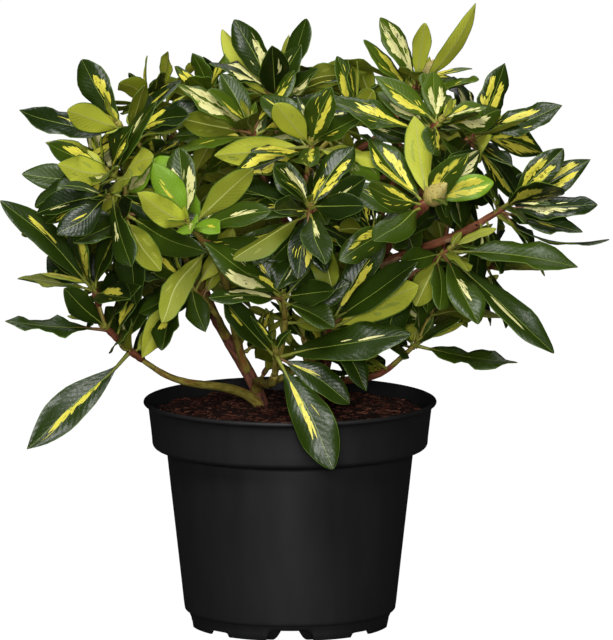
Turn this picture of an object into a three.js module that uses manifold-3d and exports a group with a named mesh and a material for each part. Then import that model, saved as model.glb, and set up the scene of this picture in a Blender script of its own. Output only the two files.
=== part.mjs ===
// A variegated rhododendron in its black plastic pot: a low, wide evergreen shrub with several
// stems, whose leafy shoots each end in a whorl of long leaves.
//
// Millimetres, +Z up. The origin is the middle of the pot's flat underside, and -Y is the front.
// The pot and the soil are turned shapes. Stems and boughs are tapered tubes bent along Bezier
// curves. Every mass of foliage is one solid: three-sided twigs with faceted leaves fused on, set
// out by a seeded rule that leaves out each leaf that would touch a limb or another leaf.
import * as THREE from 'three';
import { mergeVertices } from 'three/addons/utils/BufferGeometryUtils.js';
import Module from 'manifold-3d';

const wasm = await Module();
wasm.setup();

// ---------------------------------------------------------------- driving dimensions

const GAP = 0.3; // clear space between neighbouring solids

const POT = {
  height: 180,
  footRadius: 79,
  footHeight: 11,
  bodyBottomRadius: 84,
  bodyBottom: 15,
  bodyTopRadius: 98,
  bodyTop: 141,
  collarBottomRadius: 109.2,
  collarTopRadius: 112.7,
  lipRadius: 116.3,
  wall: 2,
  bossRadius: 16,
  plateRise: 8.8, // the base plate stands this high inside the foot ring
  sides: 36,
  archWidth: 36, // four tall drain arches in the foot ring
  archHeight: 8.4,
  notchWidth: 20, // four low notches between them
  notchHeight: 3.4,
};
const SOIL = { top: 170, sides: 24 };

// Stems rise out of the soil: cubic Bezier control points, radius at the soil and at the tip,
// and how much the foot flares.
const STEMS = {
  main_stem: {
    points: [[-20, 32, 160], [-27, 28, 205], [-66, 14, 232], [-74, 6, 292]],
    radii: [5.6, 3.6],
    flare: 3.2,
  },
  second_stem: {
    points: [[21, 30, 160], [26, 28, 210], [36, 20, 252], [72, 2, 296]],
    radii: [5.4, 3.8],
    flare: 2.6,
  },
  rear_stem: {
    points: [[24, 68, 160], [28, 72, 215], [18, 64, 285], [2, 48, 345]],
    radii: [5.0, 3.4],
    flare: 2.4,
  },
};
const STEM_STEPS = 9;
const BOUGH_STEPS = 5;
const STEM_SIDES = 8;
const BOUGH_SIDES = 5;
const TWIG_RADIUS = 2.1;
const SPUR_LENGTH = 30; // from a bough's tip to the first whorl of its mass

// Shoots lean out from the crown's axis, and rise more steeply from `above` this height on.
const LEAN = { reach: 200, up: 0.5, above: 300, steeper: 0.002 };
// A seeded leaf or shoot stays inside this dome and above its skirt.
const DOME = { top: 462, halfWidth: 236, skirt: 235, middleY: 30 };

// Whorl: how its leaves are set out along and around the shoot.
const WHORL = {
  leaves: 9,
  turn: THREE.MathUtils.degToRad(137.508),
  rise: 1.6, // from one leaf's root to the next, along the twig
  lowestPitch: 104, // degrees from the shoot's own direction
  highestPitch: 48,
  tries: 7,
};
const SHOOT = { length: 46, spread: 45, clear: 38, tries: 40 };

const LEAF = {
  length: 74,
  width: 0.38, // of its length, at the widest
  thickness: 1.7,
  arch: 0.045, // bow of the midrib, of its length
  fold: 0.24, // how far the halves fold up, of the half width
  clear: 2, // half of the space that a leaf keeps for itself
  turnOut: 0.7, // how far a blade turns its upper side to the outside of the crown
};
// A long leaf is tried with its tip this much deeper and this share of its bow.
const LONG_LEAF_TRIES = [0, 12, -12, 24, -24, 40].flatMap((deeper) => (
  [1, 0.2, -0.8].map((share) => [deeper, share])));
// Half width of the blade along the leaf, from the root to the tip.
const OUTLINE = [[0.17, 0.09], [0.46, 0.92], [0.78, 0.8]];

// One row for each mass: the limb that carries its bough and where along it, the radius of its
// stem, side shoots, seed, then the whorls that follow each other along its stem, and those that
// fork off it. A whorl is its centre, the tips of its longest leaves and, if it isn't the usual
// one, its number of other leaves. After a tip comes the side that the leaf turns out (1 its upper
// side, -1 its underside, 0 its edge, with the upper side to the sky) and how much it is bowed.
const MASSES = {
  low_left: {
    on: 'main_stem', at: 0.05, girth: 2.3, shoots: 0, seed: 11,
    whorls: [
      [[-128, -62, 230], [[-206, -90, 155, 1, -2], [-123, -90, 257], [-96, -40, 246, -1]], 0],
      [[-145, -68, 249], [[-223, -80, 255, 0], [-176, -100, 284]], 3],
      [[-154, -62, 280], [[-226, -85, 351], [-214, -50, 284, 0], [-168, -90, 339]], 6],
    ],
  },
  left_skirt: {
    on: 'main_stem', at: 0.7, girth: 2.3, shoots: 1, seed: 12,
    whorls: [
      [[-142, -70, 372], [[-199, -80, 345], [-210, -50, 367], [-188, -95, 397], [-180, -120, 384, -1]]],
    ],
    forks: [[[-128, -72, 330], [[-168, -105, 322], [-100, -115, 300]], 6]],
  },
  upper_left: {
    on: 'main_stem', at: 0.79, girth: 2.3, shoots: 0, seed: 13,
    whorls: [[[-133, -40, 404], [[-163, -38, 456], [-212, -45, 417, 1, -0.8], [-173, -95, 423, -1]]]],
    forks: [[[-104, -25, 377], [[-108, -60, 398]], 5]],
  },
  upper_left_back: {
    on: 'main_stem', at: 1, girth: 2.4, shoots: 2, seed: 14,
    whorls: [[[-111, 50, 412], [[-97, 70, 449]]]],
  },
  left_fresh: {
    on: 'main_stem', at: 0.3, girth: 2.6, shoots: 0, seed: 15,
    whorls: [[[-79, -100, 335], [[-106, -110, 384], [-28, -120, 381, -1], [-118, -130, 365, -1]]]],
  },
  left_inner: {
    on: 'main_stem', at: 0.55, girth: 2.2, shoots: 0, seed: 16,
    whorls: [[[-82, -50, 283], [[-131, -90, 317], [-116, -70, 224], [-66, -60, 245], [-119, -45, 256]], 4]],
  },
  upper_centre_left: {
    on: 'rear_stem', at: 0.62, girth: 2.3, shoots: 0, seed: 17,
    whorls: [[[-30, -25, 400], [[-89, -50, 438], [-87, -70, 412, -1], [-54, -30, 442]]]],
    forks: [[[-64, 12, 424], [[-77, 0, 455], [-79, -10, 440]], 6]],
  },
  crown_top: {
    on: 'rear_stem', at: 1, girth: 2.5, shoots: 1, seed: 18,
    whorls: [
      [[-12, 15, 424], [
        [-44, 8, 482], [9, 10, 462], [13, 40, 479, 0], [-14, -30, 466], [-54, 20, 470, -1],
      ]],
    ],
  },
  top_centre: {
    on: 'rear_stem', at: 0.78, girth: 2.4, shoots: 0, seed: 19,
    whorls: [[[17, -60, 394], [[-11, -90, 428, -1], [-59, -90, 387, -1], [33, -85, 440]]]],
    forks: [[[50, -10, 410], [[37, 0, 454], [72, -40, 438]], 7]],
  },
  top_right: {
    on: 'rear_stem', at: 0.9, girth: 2.5, shoots: 1, seed: 20,
    whorls: [
      [[103, 10, 432], [
        [146, -15, 498, 0, -2], [71, 5, 484], [106, -22, 483, -1], [78, 12, 471], [58, 15, 465],
        [149, 5, 436],
      ]],
    ],
  },
  upper_right_front: {
    on: 'second_stem', at: 0.76, girth: 2.4, shoots: 0, seed: 21,
    whorls: [[[117, -75, 412], [[66, -70, 447], [112, -75, 448], [142, -120, 427]]]],
  },
  right_shoulder: {
    on: 'second_stem', at: 1, girth: 2.6, shoots: 1, seed: 22,
    whorls: [
      [[149, -25, 398], [
        [169, -12, 450], [214, -25, 418, 1, -0.5], [186, -70, 414], [150, -90, 390, -1], [174, -80, 375],
      ]],
    ],
  },
  right_bud: {
    on: 'second_stem', at: 0.68, girth: 4.2, shoots: 0, seed: 23, bud: true,
    whorls: [
      [[108, -115, 355], [
        [97, -100, 418, -1], [62, -110, 398], [60, -155, 372], [139, -140, 396], [174, -150, 352],
      ], 5],
    ],
  },
  far_right: {
    on: 'second_stem', at: 0.85, girth: 3.0, shoots: 1, seed: 24,
    whorls: [
      [[172, -50, 343], [
        [214, -55, 388], [236, -45, 378], [241, -60, 344], [210, -115, 367], [229, -90, 325, 1, -0.5],
        [152, -75, 372], [252, -20, 311, 0, -1],
      ]],
    ],
  },
  right_low: {
    on: 'second_stem', at: 0.55, girth: 2.5, shoots: 0, seed: 25,
    whorls: [
      [[124, -80, 312], [
        [225, -90, 299], [206, -110, 234], [146, -130, 260], [86, -105, 305], [98, -90, 270],
      ], 3],
    ],
  },
  low_right: {
    on: 'second_stem', at: 0.12, girth: 2.3, shoots: 0, seed: 26,
    whorls: [
      [[101, -45, 233], [[179, -60, 219, 0, -1.2], [134, -85, 257], [64, -30, 222]], 2],
      [[114, -35, 261], [[168, -30, 250, 0]], 5],
    ],
  },
  centre_front: {
    on: 'second_stem', at: 0.31, girth: 2.4, shoots: 0, seed: 27,
    whorls: [[[16, -110, 350], [[6, -135, 296], [28, -140, 300], [-12, -150, 352], [59, -130, 375]]]],
  },
  mid_right: {
    on: 'second_stem', at: 0.45, girth: 2.2, shoots: 0, seed: 28,
    whorls: [[[65, -60, 323], [[40, -60, 357], [95, -90, 321]]]],
  },
  rim: {
    on: 'young_shoot', at: 1, girth: 2.4, shoots: 0, seed: 29,
    whorls: [[[-11, -90, 232], [[34, -150, 149], [47, -95, 192], [-52, -112, 278], [95, -115, 250]], 0]],
  },
  centre_low: {
    on: 'young_shoot', at: 0.8, girth: 2.3, shoots: 0, seed: 30,
    whorls: [[[-5, -105, 278], [[-67, -130, 325], [-31, -95, 319], [35, -95, 256]], 4]],
  },
  centre_right_low: {
    on: 'young_shoot', at: 0.66, girth: 2.3, shoots: 0, seed: 31,
    whorls: [
      [[32, -85, 254], [
        [73, -80, 322], [100, -110, 308], [60, -95, 202], [100, -125, 290, -1], [18, -120, 297, -1],
      ], 5],
    ],
  },
  back_left: {
    on: 'main_stem', at: 0.62, girth: 2.6, shoots: 3, seed: 32,
    whorls: [[[-128, 85, 345], [[-196, 100, 372]]]],
  },
  back_left_low: {
    on: 'main_stem', at: 0.42, girth: 2.4, shoots: 3, seed: 33,
    whorls: [[[-95, 105, 275], [[-150, 140, 262]]]],
  },
  back_centre: {
    on: 'rear_stem', at: 0.84, girth: 2.6, shoots: 3, seed: 34,
    whorls: [[[-25, 115, 395], [[-50, 165, 435]]]],
  },
  back_centre_low: {
    on: 'rear_stem', at: 0.45, girth: 2.5, shoots: 3, seed: 35,
    whorls: [[[10, 150, 300], [[10, 215, 285]]]],
  },
  back_right: {
    on: 'rear_stem', at: 0.7, girth: 2.6, shoots: 3, seed: 36,
    whorls: [[[100, 110, 375], [[140, 165, 400]]]],
  },
  back_right_low: {
    on: 'second_stem', at: 0.38, girth: 2.5, shoots: 3, seed: 37,
    whorls: [[[130, 70, 285], [[200, 90, 270]]]],
  },
};

// A side shoot that carries three masses of its own, low at the front.
const YOUNG_SHOOT = {
  on: 'main_stem', at: 0.17, tip: [-12, -66, 210], heading: [0.05, -0.72, 0.69], radius: 3.1,
};

// ---------------------------------------------------------------- looks of the sub-parts

const paint = (color, roughness) => new THREE.MeshStandardMaterial({ color, roughness, metalness: 0 });
const MATERIALS = {
  plastic: paint('#141415', 0.5),
  soil: paint('#2a1710', 0.95),
  bark: paint('#6e3c28', 0.85),
  youngBark: paint('#8b7a35', 0.6),
  foliage: paint('#2c5a1a', 0.45),
};

// ---------------------------------------------------------------- vectors and the seeded rule

const vec = (p) => new THREE.Vector3(...p);
const UP = new THREE.Vector3(0, 0, 1);

/** The point that lies `amount` along `direction` from `point`. */
const along = (point, direction, amount) => point.clone().addScaledVector(direction, amount);

/** Two unit vectors square to a direction and to each other. */
function squareTo(direction) {
  const across = new THREE.Vector3().crossVectors(direction, new THREE.Vector3(0.31, 0.87, 0.38)).normalize();
  return [across, new THREE.Vector3().crossVectors(direction, across)];
}

/** Numbers from 0 to 1 by the Lehmer rule: each state is 48271 times the last, modulo 2^31 - 1. */
function seededNumbers(seed) {
  let state = seed * 7919;
  return () => {
    state = (state * 48271) % 2147483647;
    return state / 2147483647;
  };
}

/** The way that a shoot leans at a point: out from the crown's axis, and up. */
function leanAt({ x, y, z }) {
  const rise = LEAN.up + LEAN.steeper * Math.max(0, z - LEAN.above);
  return new THREE.Vector3(x / LEAN.reach, y / LEAN.reach, rise).normalize();
}

// ---------------------------------------------------------------- closed solids

/** Merges a geometry's shared points and drops the triangles that collapse at an axis. */
function closedGeometry(geometry) {
  const bare = geometry.clone();
  bare.deleteAttribute('normal');
  bare.deleteAttribute('uv');
  const merged = mergeVertices(bare, 1e-4);
  const corners = merged.index.array;
  const kept = [];
  for (let i = 0; i < corners.length; i += 3) {
    const [a, b, c] = corners.slice(i, i + 3);
    if (a !== b && b !== c && c !== a) kept.push(a, b, c);
  }
  merged.setIndex(kept);
  return merged;
}

function solidOf(geometry) {
  const { attributes, index } = closedGeometry(geometry);
  return new wasm.Manifold(new wasm.Mesh({
    numProp: 3,
    vertProperties: new Float32Array(attributes.position.array),
    triVerts: new Uint32Array(index.array),
  }));
}

/** The solid's main body: loose scraps are dropped and sealed hollows filled. */
function mainBody(solid) {
  return solid.decompose().reduce((best, next) => (next.volume() > best.volume() ? next : best));
}

function geometryOf(solid) {
  const mesh = solid.getMesh();
  const geometry = new THREE.BufferGeometry();
  geometry.setAttribute('position', new THREE.BufferAttribute(new Float32Array(mesh.vertProperties), 3));
  geometry.setIndex(new THREE.BufferAttribute(new Uint32Array(mesh.triVerts), 1));
  return geometry;
}

/** A profile of [radius, height] points turned about the Z axis. */
function turned(profile, sides) {
  const points = profile.map(([radius, height]) => new THREE.Vector2(radius, height));
  return new THREE.LatheGeometry(points, sides).rotateX(Math.PI / 2);
}

// ---------------------------------------------------------------- limbs

/** A limb: its curve, its radius from 0 to 1 along it, and how it is cut up. */
function makeLimb(curve, radiusAt, sides, steps) {
  return { curve, radiusAt, sides, steps };
}

/** A closed tapered tube: a turned profile of unit height, bent along the limb's curve. */
function limbSolid(limb, extra = 0) {
  const rings = Array.from({ length: limb.steps + 1 }, (_, i) => i / limb.steps);
  const profile = [[0, 0], ...rings.map((t) => [limb.radiusAt(t) + extra, t]), [0, 1]];
  const tube = turned(profile, limb.sides);
  const position = tube.attributes.position;
  for (let i = 0; i < position.count; i += 1) {
    const t = THREE.MathUtils.clamp(position.getZ(i), 0, 1);
    const [across, over] = squareTo(limb.curve.getTangent(t));
    const point = along(along(limb.curve.getPoint(t), across, position.getX(i)), over, position.getY(i));
    position.setXYZ(i, point.x, point.y, point.z);
  }
  return solidOf(tube);
}

function stemLimb({ points, radii: [low, high], flare }) {
  const curve = new THREE.CubicBezierCurve3(...points.map(vec));
  const radiusAt = (t) => low + (high - low) * t + flare * Math.exp(-22 * t);
  return makeLimb(curve, radiusAt, STEM_SIDES, STEM_STEPS);
}

/** A bough leaves its parent a little along the parent's own direction and arrives along `heading`. */
function boughLimb(parent, at, tip, heading, tipRadius) {
  const onward = parent.curve.getTangent(at);
  const start = at === 1 ? along(parent.curve.getPoint(1), onward, GAP) : parent.curve.getPoint(at);
  const toTip = tip.clone().sub(start);
  const third = toTip.length() / 3;
  const leaving = at === 1 ? onward : toTip.normalize().add(onward).normalize();
  const curve = new THREE.CubicBezierCurve3(
    start, along(start, leaving, third), along(tip, heading, -third), tip);
  const low = at === 1 ? parent.radiusAt(1) : Math.max(tipRadius * 1.15, parent.radiusAt(at) * 0.68);
  return makeLimb(curve, (t) => low + (tipRadius - low) * t, BOUGH_SIDES, BOUGH_STEPS);
}

// ---------------------------------------------------------------- what touches what

/** A shape to test against: triangles, the segments that bound them, and their box. */
function makeShape(triangles, segments) {
  const box = new THREE.Box3().setFromPoints([...triangles.flat(), ...segments.flat()]);
  return { triangles, segments, box };
}

/** Does the segment from p to q pass through the triangle a, b, c? */
function pierces([p, q], [a, b, c]) {
  const direction = q.clone().sub(p);
  const edge1 = b.clone().sub(a);
  const edge2 = c.clone().sub(a);
  const h = direction.clone().cross(edge2);
  const det = edge1.dot(h);
  if (Math.abs(det) < 1e-12) return false;
  const s = p.clone().sub(a);
  const u = s.dot(h) / det;
  if (u < 0 || u > 1) return false;
  const side = s.cross(edge1);
  const v = direction.dot(side) / det;
  if (v < 0 || u + v > 1) return false;
  const t = edge2.dot(side) / det;
  return t >= 0 && t <= 1;
}

function touches(shapeA, shapeB) {
  if (!shapeA.box.intersectsBox(shapeB.box)) return false;
  const anyPierces = (one, other) => one.segments.some((segment) => (
    other.triangles.some((triangle) => pierces(segment, triangle))));
  return anyPierces(shapeA, shapeB) || anyPierces(shapeB, shapeA);
}

/** The plain four-sided sleeve round a limb or twig, from 0 to 1 along it. */
function sleeveShape(curve, radiusAt, steps, from = 0) {
  const rings = Array.from({ length: steps + 1 }, (_, i) => {
    const t = from + ((1 - from) * i) / steps;
    const [across, over] = squareTo(curve.getTangent(t));
    return [[1, 0], [0, 1], [-1, 0], [0, -1]].map(([x, y]) => {
      const reach = radiusAt(t) * 1.3;
      return along(along(curve.getPoint(t), across, x * reach), over, y * reach);
    });
  });
  const triangles = [];
  const segments = [];
  for (let i = 0; i < steps; i += 1) {
    for (let side = 0; side < 4; side += 1) {
      const next = (side + 1) % 4;
      triangles.push([rings[i][side], rings[i][next], rings[i + 1][next]]);
      triangles.push([rings[i][side], rings[i + 1][next], rings[i + 1][side]]);
      segments.push([rings[i][side], rings[i + 1][side]]);
    }
  }
  return makeShape(triangles, segments);
}

/** The pot's collar and lip as a plain ring that leaves keep off. */
function potShape() {
  const corners = Array.from({ length: 24 }, (_, i) => {
    const angle = (i * Math.PI) / 12;
    return [[POT.lipRadius + 2, POT.height + 2], [POT.lipRadius + 2, 100]].map(([radius, height]) => (
      vec([radius * Math.cos(angle), radius * Math.sin(angle), height])));
  });
  const triangles = [];
  corners.forEach(([top, low], i) => {
    const [nextTop, nextLow] = corners[(i + 1) % 24];
    triangles.push([top, low, nextLow], [top, nextLow, nextTop]);
  });
  return makeShape(triangles, corners.map(([top, low]) => [top, low]));
}

// ---------------------------------------------------------------- leaves

/**
 * A leaf: root, direction of its chord, its upper side, length and blade width.
 * `bladePoint(s, c, lift)` is the point s along the chord and c of the half width across, with the
 * midrib bowed towards the upper side and both halves folded up from it.
 */
function makeLeaf(root, direction, upper, length, width, arch) {
  const side = new THREE.Vector3().crossVectors(upper, direction);
  const bladePoint = (s, c, half, lift = 0) => {
    const rise = arch * length * 4 * s * (1 - s) + LEAF.fold * half * Math.abs(c) + lift;
    return along(along(along(root, direction, s * length), upper, rise), side, c * half);
  };
  const halfWidth = width / 2;
  const edge = (sign) => OUTLINE.map(([s, w]) => bladePoint(s, sign, w * halfWidth));
  return { root, tip: bladePoint(1, 0, 0), right: edge(-1), left: edge(1).reverse(), bladePoint };
}

/** The leaf as a closed solid: an eight-sided double pyramid, folded and bowed into a blade. */
function leafSolid(leaf) {
  const rim = [leaf.root, ...leaf.right, leaf.tip, ...leaf.left];
  const geometry = closedGeometry(new THREE.SphereGeometry(1, rim.length, 2).rotateX(Math.PI / 2));
  const position = geometry.attributes.position;
  for (let i = 0; i < position.count; i += 1) {
    const [x, y, z] = [position.getX(i), position.getY(i), position.getZ(i)];
    const turn = Math.round((Math.atan2(y, x) / (2 * Math.PI)) * rim.length);
    const point = Math.abs(z) > 0.5
      ? leaf.bladePoint(0.5, 0, 0, Math.sign(z) * LEAF.thickness * 0.5)
      : rim[(turn + rim.length) % rim.length];
    position.setXYZ(i, point.x, point.y, point.z);
  }
  return solidOf(geometry);
}

/** The blade and petiole as thin sheets at each of the given heights above the leaf's own. */
function leafShape(leaf, upper, lifts) {
  const middle = leaf.bladePoint(0.5, 0, 0);
  const rim = [...leaf.right, leaf.tip, ...leaf.left];
  const triangles = [];
  const segments = [[leaf.bladePoint(0.06, 0, 0), leaf.bladePoint(0.17, 0, 0)]];
  for (const lift of lifts) {
    const raised = rim.map((point) => along(point, upper, lift));
    const raisedMiddle = along(middle, upper, lift);
    raised.forEach((point, i) => {
      const next = raised[(i + 1) % raised.length];
      triangles.push([raisedMiddle, point, next]);
      segments.push([point, next], [raisedMiddle, point]);
    });
  }
  if (lifts.length > 1) {
    const [low, high] = [lifts[0], lifts[lifts.length - 1]];
    [...rim, middle].forEach((point) => segments.push([along(point, upper, low), along(point, upper, high)]));
  }
  return makeShape(triangles, segments);
}

// ---------------------------------------------------------------- growing the plant

const limbs = {};
const taken = [potShape()];

for (const [name, stem] of Object.entries(STEMS)) limbs[name] = stemLimb(stem);
limbs.young_shoot = boughLimb(
  limbs[YOUNG_SHOOT.on], YOUNG_SHOOT.at, vec(YOUNG_SHOOT.tip), vec(YOUNG_SHOOT.heading).normalize(),
  YOUNG_SHOOT.radius);

/** A whorl at the end of a twig, its leaves set round an axis between the twig's way and the lean. */
function makeWhorl([centre, longLeaves, count = WHORL.leaves], twig) {
  const stalk = twig.to.clone().sub(twig.from).normalize();
  const middle = vec(centre);
  const axis = stalk.clone().add(leanAt(middle)).normalize();
  return { centre: middle, longLeaves, count, stalk, axis, leaves: [] };
}

const masses = Object.entries(MASSES).map(([name, row]) => {
  const first = vec(row.whorls[0][0]);
  const lean = leanAt(first);
  let bough = limbs[row.on];
  if (row.on !== 'young_shoot' || row.at !== 1) {
    bough = boughLimb(bough, row.at, along(first, lean, -SPUR_LENGTH), lean, row.girth);
    limbs[`${name}_bough`] = bough;
  }
  const foot = along(bough.curve.getPoint(1), bough.curve.getTangent(1), GAP);
  const stem = { from: foot, to: first, radius: row.girth };
  const forkFrom = foot.clone().lerp(first, 0.35);
  const onward = row.whorls.slice(1).map(([centre], i) => ({ from: vec(row.whorls[i][0]), to: vec(centre) }));
  const forks = (row.forks ?? []).map(([centre]) => ({ from: forkFrom, to: vec(centre) }));
  const twigs = [stem, ...[...onward, ...forks].map((twig) => ({ ...twig, radius: TWIG_RADIUS }))];
  const whorls = [...row.whorls, ...(row.forks ?? [])].map((whorl, i) => makeWhorl(whorl, twigs[i]));
  return { name, row, random: seededNumbers(row.seed), twigs, whorls };
});

const twigCurve = ({ from, to }) => new THREE.LineCurve3(from, to);
const twigShape = (twig) => sleeveShape(twigCurve(twig), () => twig.radius, 1, 0.12);

for (const limb of Object.values(limbs)) taken.push(sleeveShape(limb.curve, limb.radiusAt, limb.steps, 0.08));
for (const mass of masses) mass.twigs.forEach((twig) => taken.push(twigShape(twig)));

/** Side shoots: each forks off the mass's stem, is turned on by the seed, and ends in a whorl. */
function growShoots(mass) {
  const { random, row } = mass;
  const stem = mass.twigs[0];
  const stemAxis = stem.to.clone().sub(stem.from).normalize();
  for (let k = 0; k < row.shoots; k += 1) {
    for (let attempt = 0; attempt < SHOOT.tries; attempt += 1) {
      const [across, over] = squareTo(stemAxis);
      const angle = WHORL.turn * (k + attempt) + 6.28 * random();
      const spread = THREE.MathUtils.degToRad(SHOOT.spread + 22 * random());
      const sideways = across.multiplyScalar(Math.cos(angle)).add(over.multiplyScalar(Math.sin(angle)));
      const heading = stemAxis.clone().multiplyScalar(Math.cos(spread));
      heading.addScaledVector(sideways, Math.sin(spread)).normalize();
      const from = stem.from.clone().lerp(stem.to, 0.25 + 0.4 * random());
      const to = along(from, heading, SHOOT.length * (0.85 + 0.5 * random()));
      const twig = { from, to, radius: TWIG_RADIUS };
      const shape = twigShape(twig);
      const roomy = masses.every((other) => other.whorls.every((w) => w.centre.distanceTo(to) > SHOOT.clear));
      if (roomy && inCrown(to, 30) && !taken.some((other) => touches(shape, other))) {
        mass.twigs.push(twig);
        taken.push(shape);
        mass.whorls.push(makeWhorl([to.toArray(), []], twig));
        break;
      }
    }
  }
}

/** Is the point inside the crown's dome, `margin` under its surface, and above its skirt? */
function inCrown(point, margin = 0) {
  const out = Math.hypot(point.x, point.y) / (DOME.halfWidth - margin);
  const roof = DOME.skirt + (DOME.top - margin - DOME.skirt) * Math.sqrt(Math.max(0, 1 - out ** 3));
  return out < 1 && point.z > DOME.skirt && point.z < roof;
}

/** The side that a leaf's upper face turns to: its shoot's axis, and the outside of the crown. */
function upperSide(whorl, direction, tip, face) {
  const outside = new THREE.Vector3(0.2 * tip.x, tip.y - DOME.middleY, 0).normalize().addScaledVector(UP, 0.6);
  const wanted = face === 0 ? UP.clone() : whorl.axis.clone().addScaledVector(outside, face);
  return wanted.addScaledVector(direction, -wanted.dot(direction)).normalize();
}

/** Adds the leaf if it is clear of everything that has grown so far. */
function tryLeaf(whorl, root, tip, arch, face) {
  const direction = tip.clone().sub(root);
  const length = direction.length();
  direction.normalize();
  const upper = upperSide(whorl, direction, tip, face);
  const width = 0.5 * (length + LEAF.length) * LEAF.width;
  const leaf = makeLeaf(root, direction, upper, length, width, arch);
  const swept = leafShape(leaf, upper, [-LEAF.clear, LEAF.clear]);
  if (taken.some((other) => touches(swept, other))) return false;
  taken.push(leafShape(leaf, upper, [0]));
  whorl.leaves.push(leaf);
  return true;
}

/** The leaves whose tips are given, each tried with less bow and with its tip moved in depth. */
function growLongLeaves(whorl) {
  for (const [i, [x, y, z, face = 1, bow = 1]] of whorl.longLeaves.entries()) {
    const root = along(whorl.centre, whorl.stalk, -WHORL.rise * (i + 2));
    LONG_LEAF_TRIES.some(([deeper, share]) => (
      tryLeaf(whorl, root, vec([x, y + deeper, z]), LEAF.arch * bow * share, face * LEAF.turnOut * 2)));
  }
}

/** The other leaves of a whorl, from the lowest and widest spread to the upright ones at its tip. */
function growWhorl(whorl, random) {
  const [across, over] = squareTo(whorl.axis);
  const start = 6.28 * random();
  for (let i = 0; i < whorl.count; i += 1) {
    const share = i / (whorl.count - 1);
    const root = along(whorl.centre, whorl.stalk, -WHORL.rise * (whorl.count - i) * 0.8);
    for (let attempt = 0; attempt < WHORL.tries; attempt += 1) {
      const angle = start + WHORL.turn * i + 0.5 * attempt * (random() - 0.5);
      const steep = WHORL.lowestPitch + (WHORL.highestPitch - WHORL.lowestPitch) * share;
      const pitch = THREE.MathUtils.degToRad(steep + (12 + 7 * attempt) * (random() - 0.5));
      const length = LEAF.length * (1.08 - 0.3 * share + 0.22 * (random() - 0.5)) * (1 - 0.05 * attempt);
      const tip = along(root, whorl.axis, length * Math.cos(pitch));
      tip.addScaledVector(across, length * Math.cos(angle) * Math.sin(pitch));
      tip.addScaledVector(over, length * Math.sin(angle) * Math.sin(pitch));
      const bow = LEAF.arch * (0.6 + 0.7 * random());
      if (inCrown(tip) && tryLeaf(whorl, root, tip, bow, LEAF.turnOut)) break;
    }
  }
}

masses.forEach(growShoots);
for (const mass of masses) mass.whorls.forEach(growLongLeaves);
for (const mass of masses) mass.whorls.forEach((whorl) => growWhorl(whorl, mass.random));

// ---------------------------------------------------------------- the solids

/** The swollen flower bud at the end of a shoot. */
function budSolid(whorl) {
  const bud = new THREE.SphereGeometry(1, 6, 4).scale(6.2, 9.5, 6.2);
  bud.applyQuaternion(new THREE.Quaternion().setFromUnitVectors(new THREE.Vector3(0, 1, 0), whorl.axis));
  const middle = along(whorl.centre, whorl.axis, 7);
  return solidOf(bud.translate(middle.x, middle.y, middle.z));
}

function massSolid(mass) {
  const pieces = mass.twigs.map((twig) => limbSolid(
    makeLimb(twigCurve(twig), (t) => twig.radius * (1 - 0.25 * t), 3, 1)));
  for (const whorl of mass.whorls) pieces.push(...whorl.leaves.map(leafSolid));
  if (mass.row.bud) pieces.push(budSolid(mass.whorls[0]));
  return mainBody(pieces.reduce((whole, piece) => whole.add(piece)));
}

function potSolid() {
  const inner = (radius) => radius - POT.wall;
  const profile = [
    [0, 0], [POT.bossRadius, 0], [POT.bossRadius, POT.plateRise],
    [inner(POT.footRadius), POT.plateRise], [inner(POT.footRadius), 0],
    [POT.footRadius, 0], [POT.footRadius + 1.6, POT.footHeight],
    [POT.bodyBottomRadius, POT.bodyBottom], [POT.bodyTopRadius, POT.bodyTop],
    [POT.collarBottomRadius - 2, POT.bodyTop + 4], [POT.collarBottomRadius, POT.bodyTop + 10],
    [POT.collarTopRadius, POT.height - 3.4], [POT.lipRadius, POT.height - 1.8],
    [POT.lipRadius - 0.8, POT.height], [POT.collarTopRadius - 0.8, POT.height],
    [inner(POT.collarTopRadius), POT.height - 3.4], [inner(POT.collarBottomRadius), POT.bodyTop + 11],
    [inner(POT.collarBottomRadius) - 2, POT.bodyTop + 7], [inner(POT.bodyTopRadius), POT.bodyTop + 2],
    [inner(POT.bodyBottomRadius), POT.bodyBottom + 1],
    [inner(POT.footRadius), POT.plateRise + POT.wall], [0, POT.plateRise + POT.wall],
  ];
  let pot = solidOf(turned(profile, POT.sides));
  const cut = (width, height, angle) => {
    const slot = new THREE.BoxGeometry(20, width, 2 * height).translate(POT.footRadius, 0, 0);
    pot = pot.subtract(solidOf(slot.rotateZ(angle)));
  };
  for (let quarter = 0; quarter < 4; quarter += 1) {
    cut(POT.archWidth, POT.archHeight, (quarter * Math.PI) / 2);
    cut(POT.notchWidth, POT.notchHeight, ((quarter + 0.5) * Math.PI) / 2);
  }
  return pot;
}

function soilSolid() {
  const clear = POT.wall + GAP;
  return solidOf(turned([
    [0, POT.plateRise + clear], [POT.footRadius - clear - 0.5, POT.plateRise + clear],
    [POT.bodyBottomRadius - clear, POT.bodyBottom + 1.6], [POT.bodyTopRadius - clear, POT.bodyTop + 3],
    [POT.collarBottomRadius - clear - 2, POT.bodyTop + 8], [POT.collarBottomRadius - clear, POT.bodyTop + 12],
    [POT.collarBottomRadius - clear + 1, SOIL.top], [0, SOIL.top],
  ], SOIL.sides));
}

const group = new THREE.Group();
function addPart(name, solid, material) {
  const mesh = new THREE.Mesh(geometryOf(solid), material);
  mesh.name = name;
  group.add(mesh);
}

addPart('pot', potSolid(), MATERIALS.plastic);
addPart('soil', soilSolid(), MATERIALS.soil);

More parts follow.
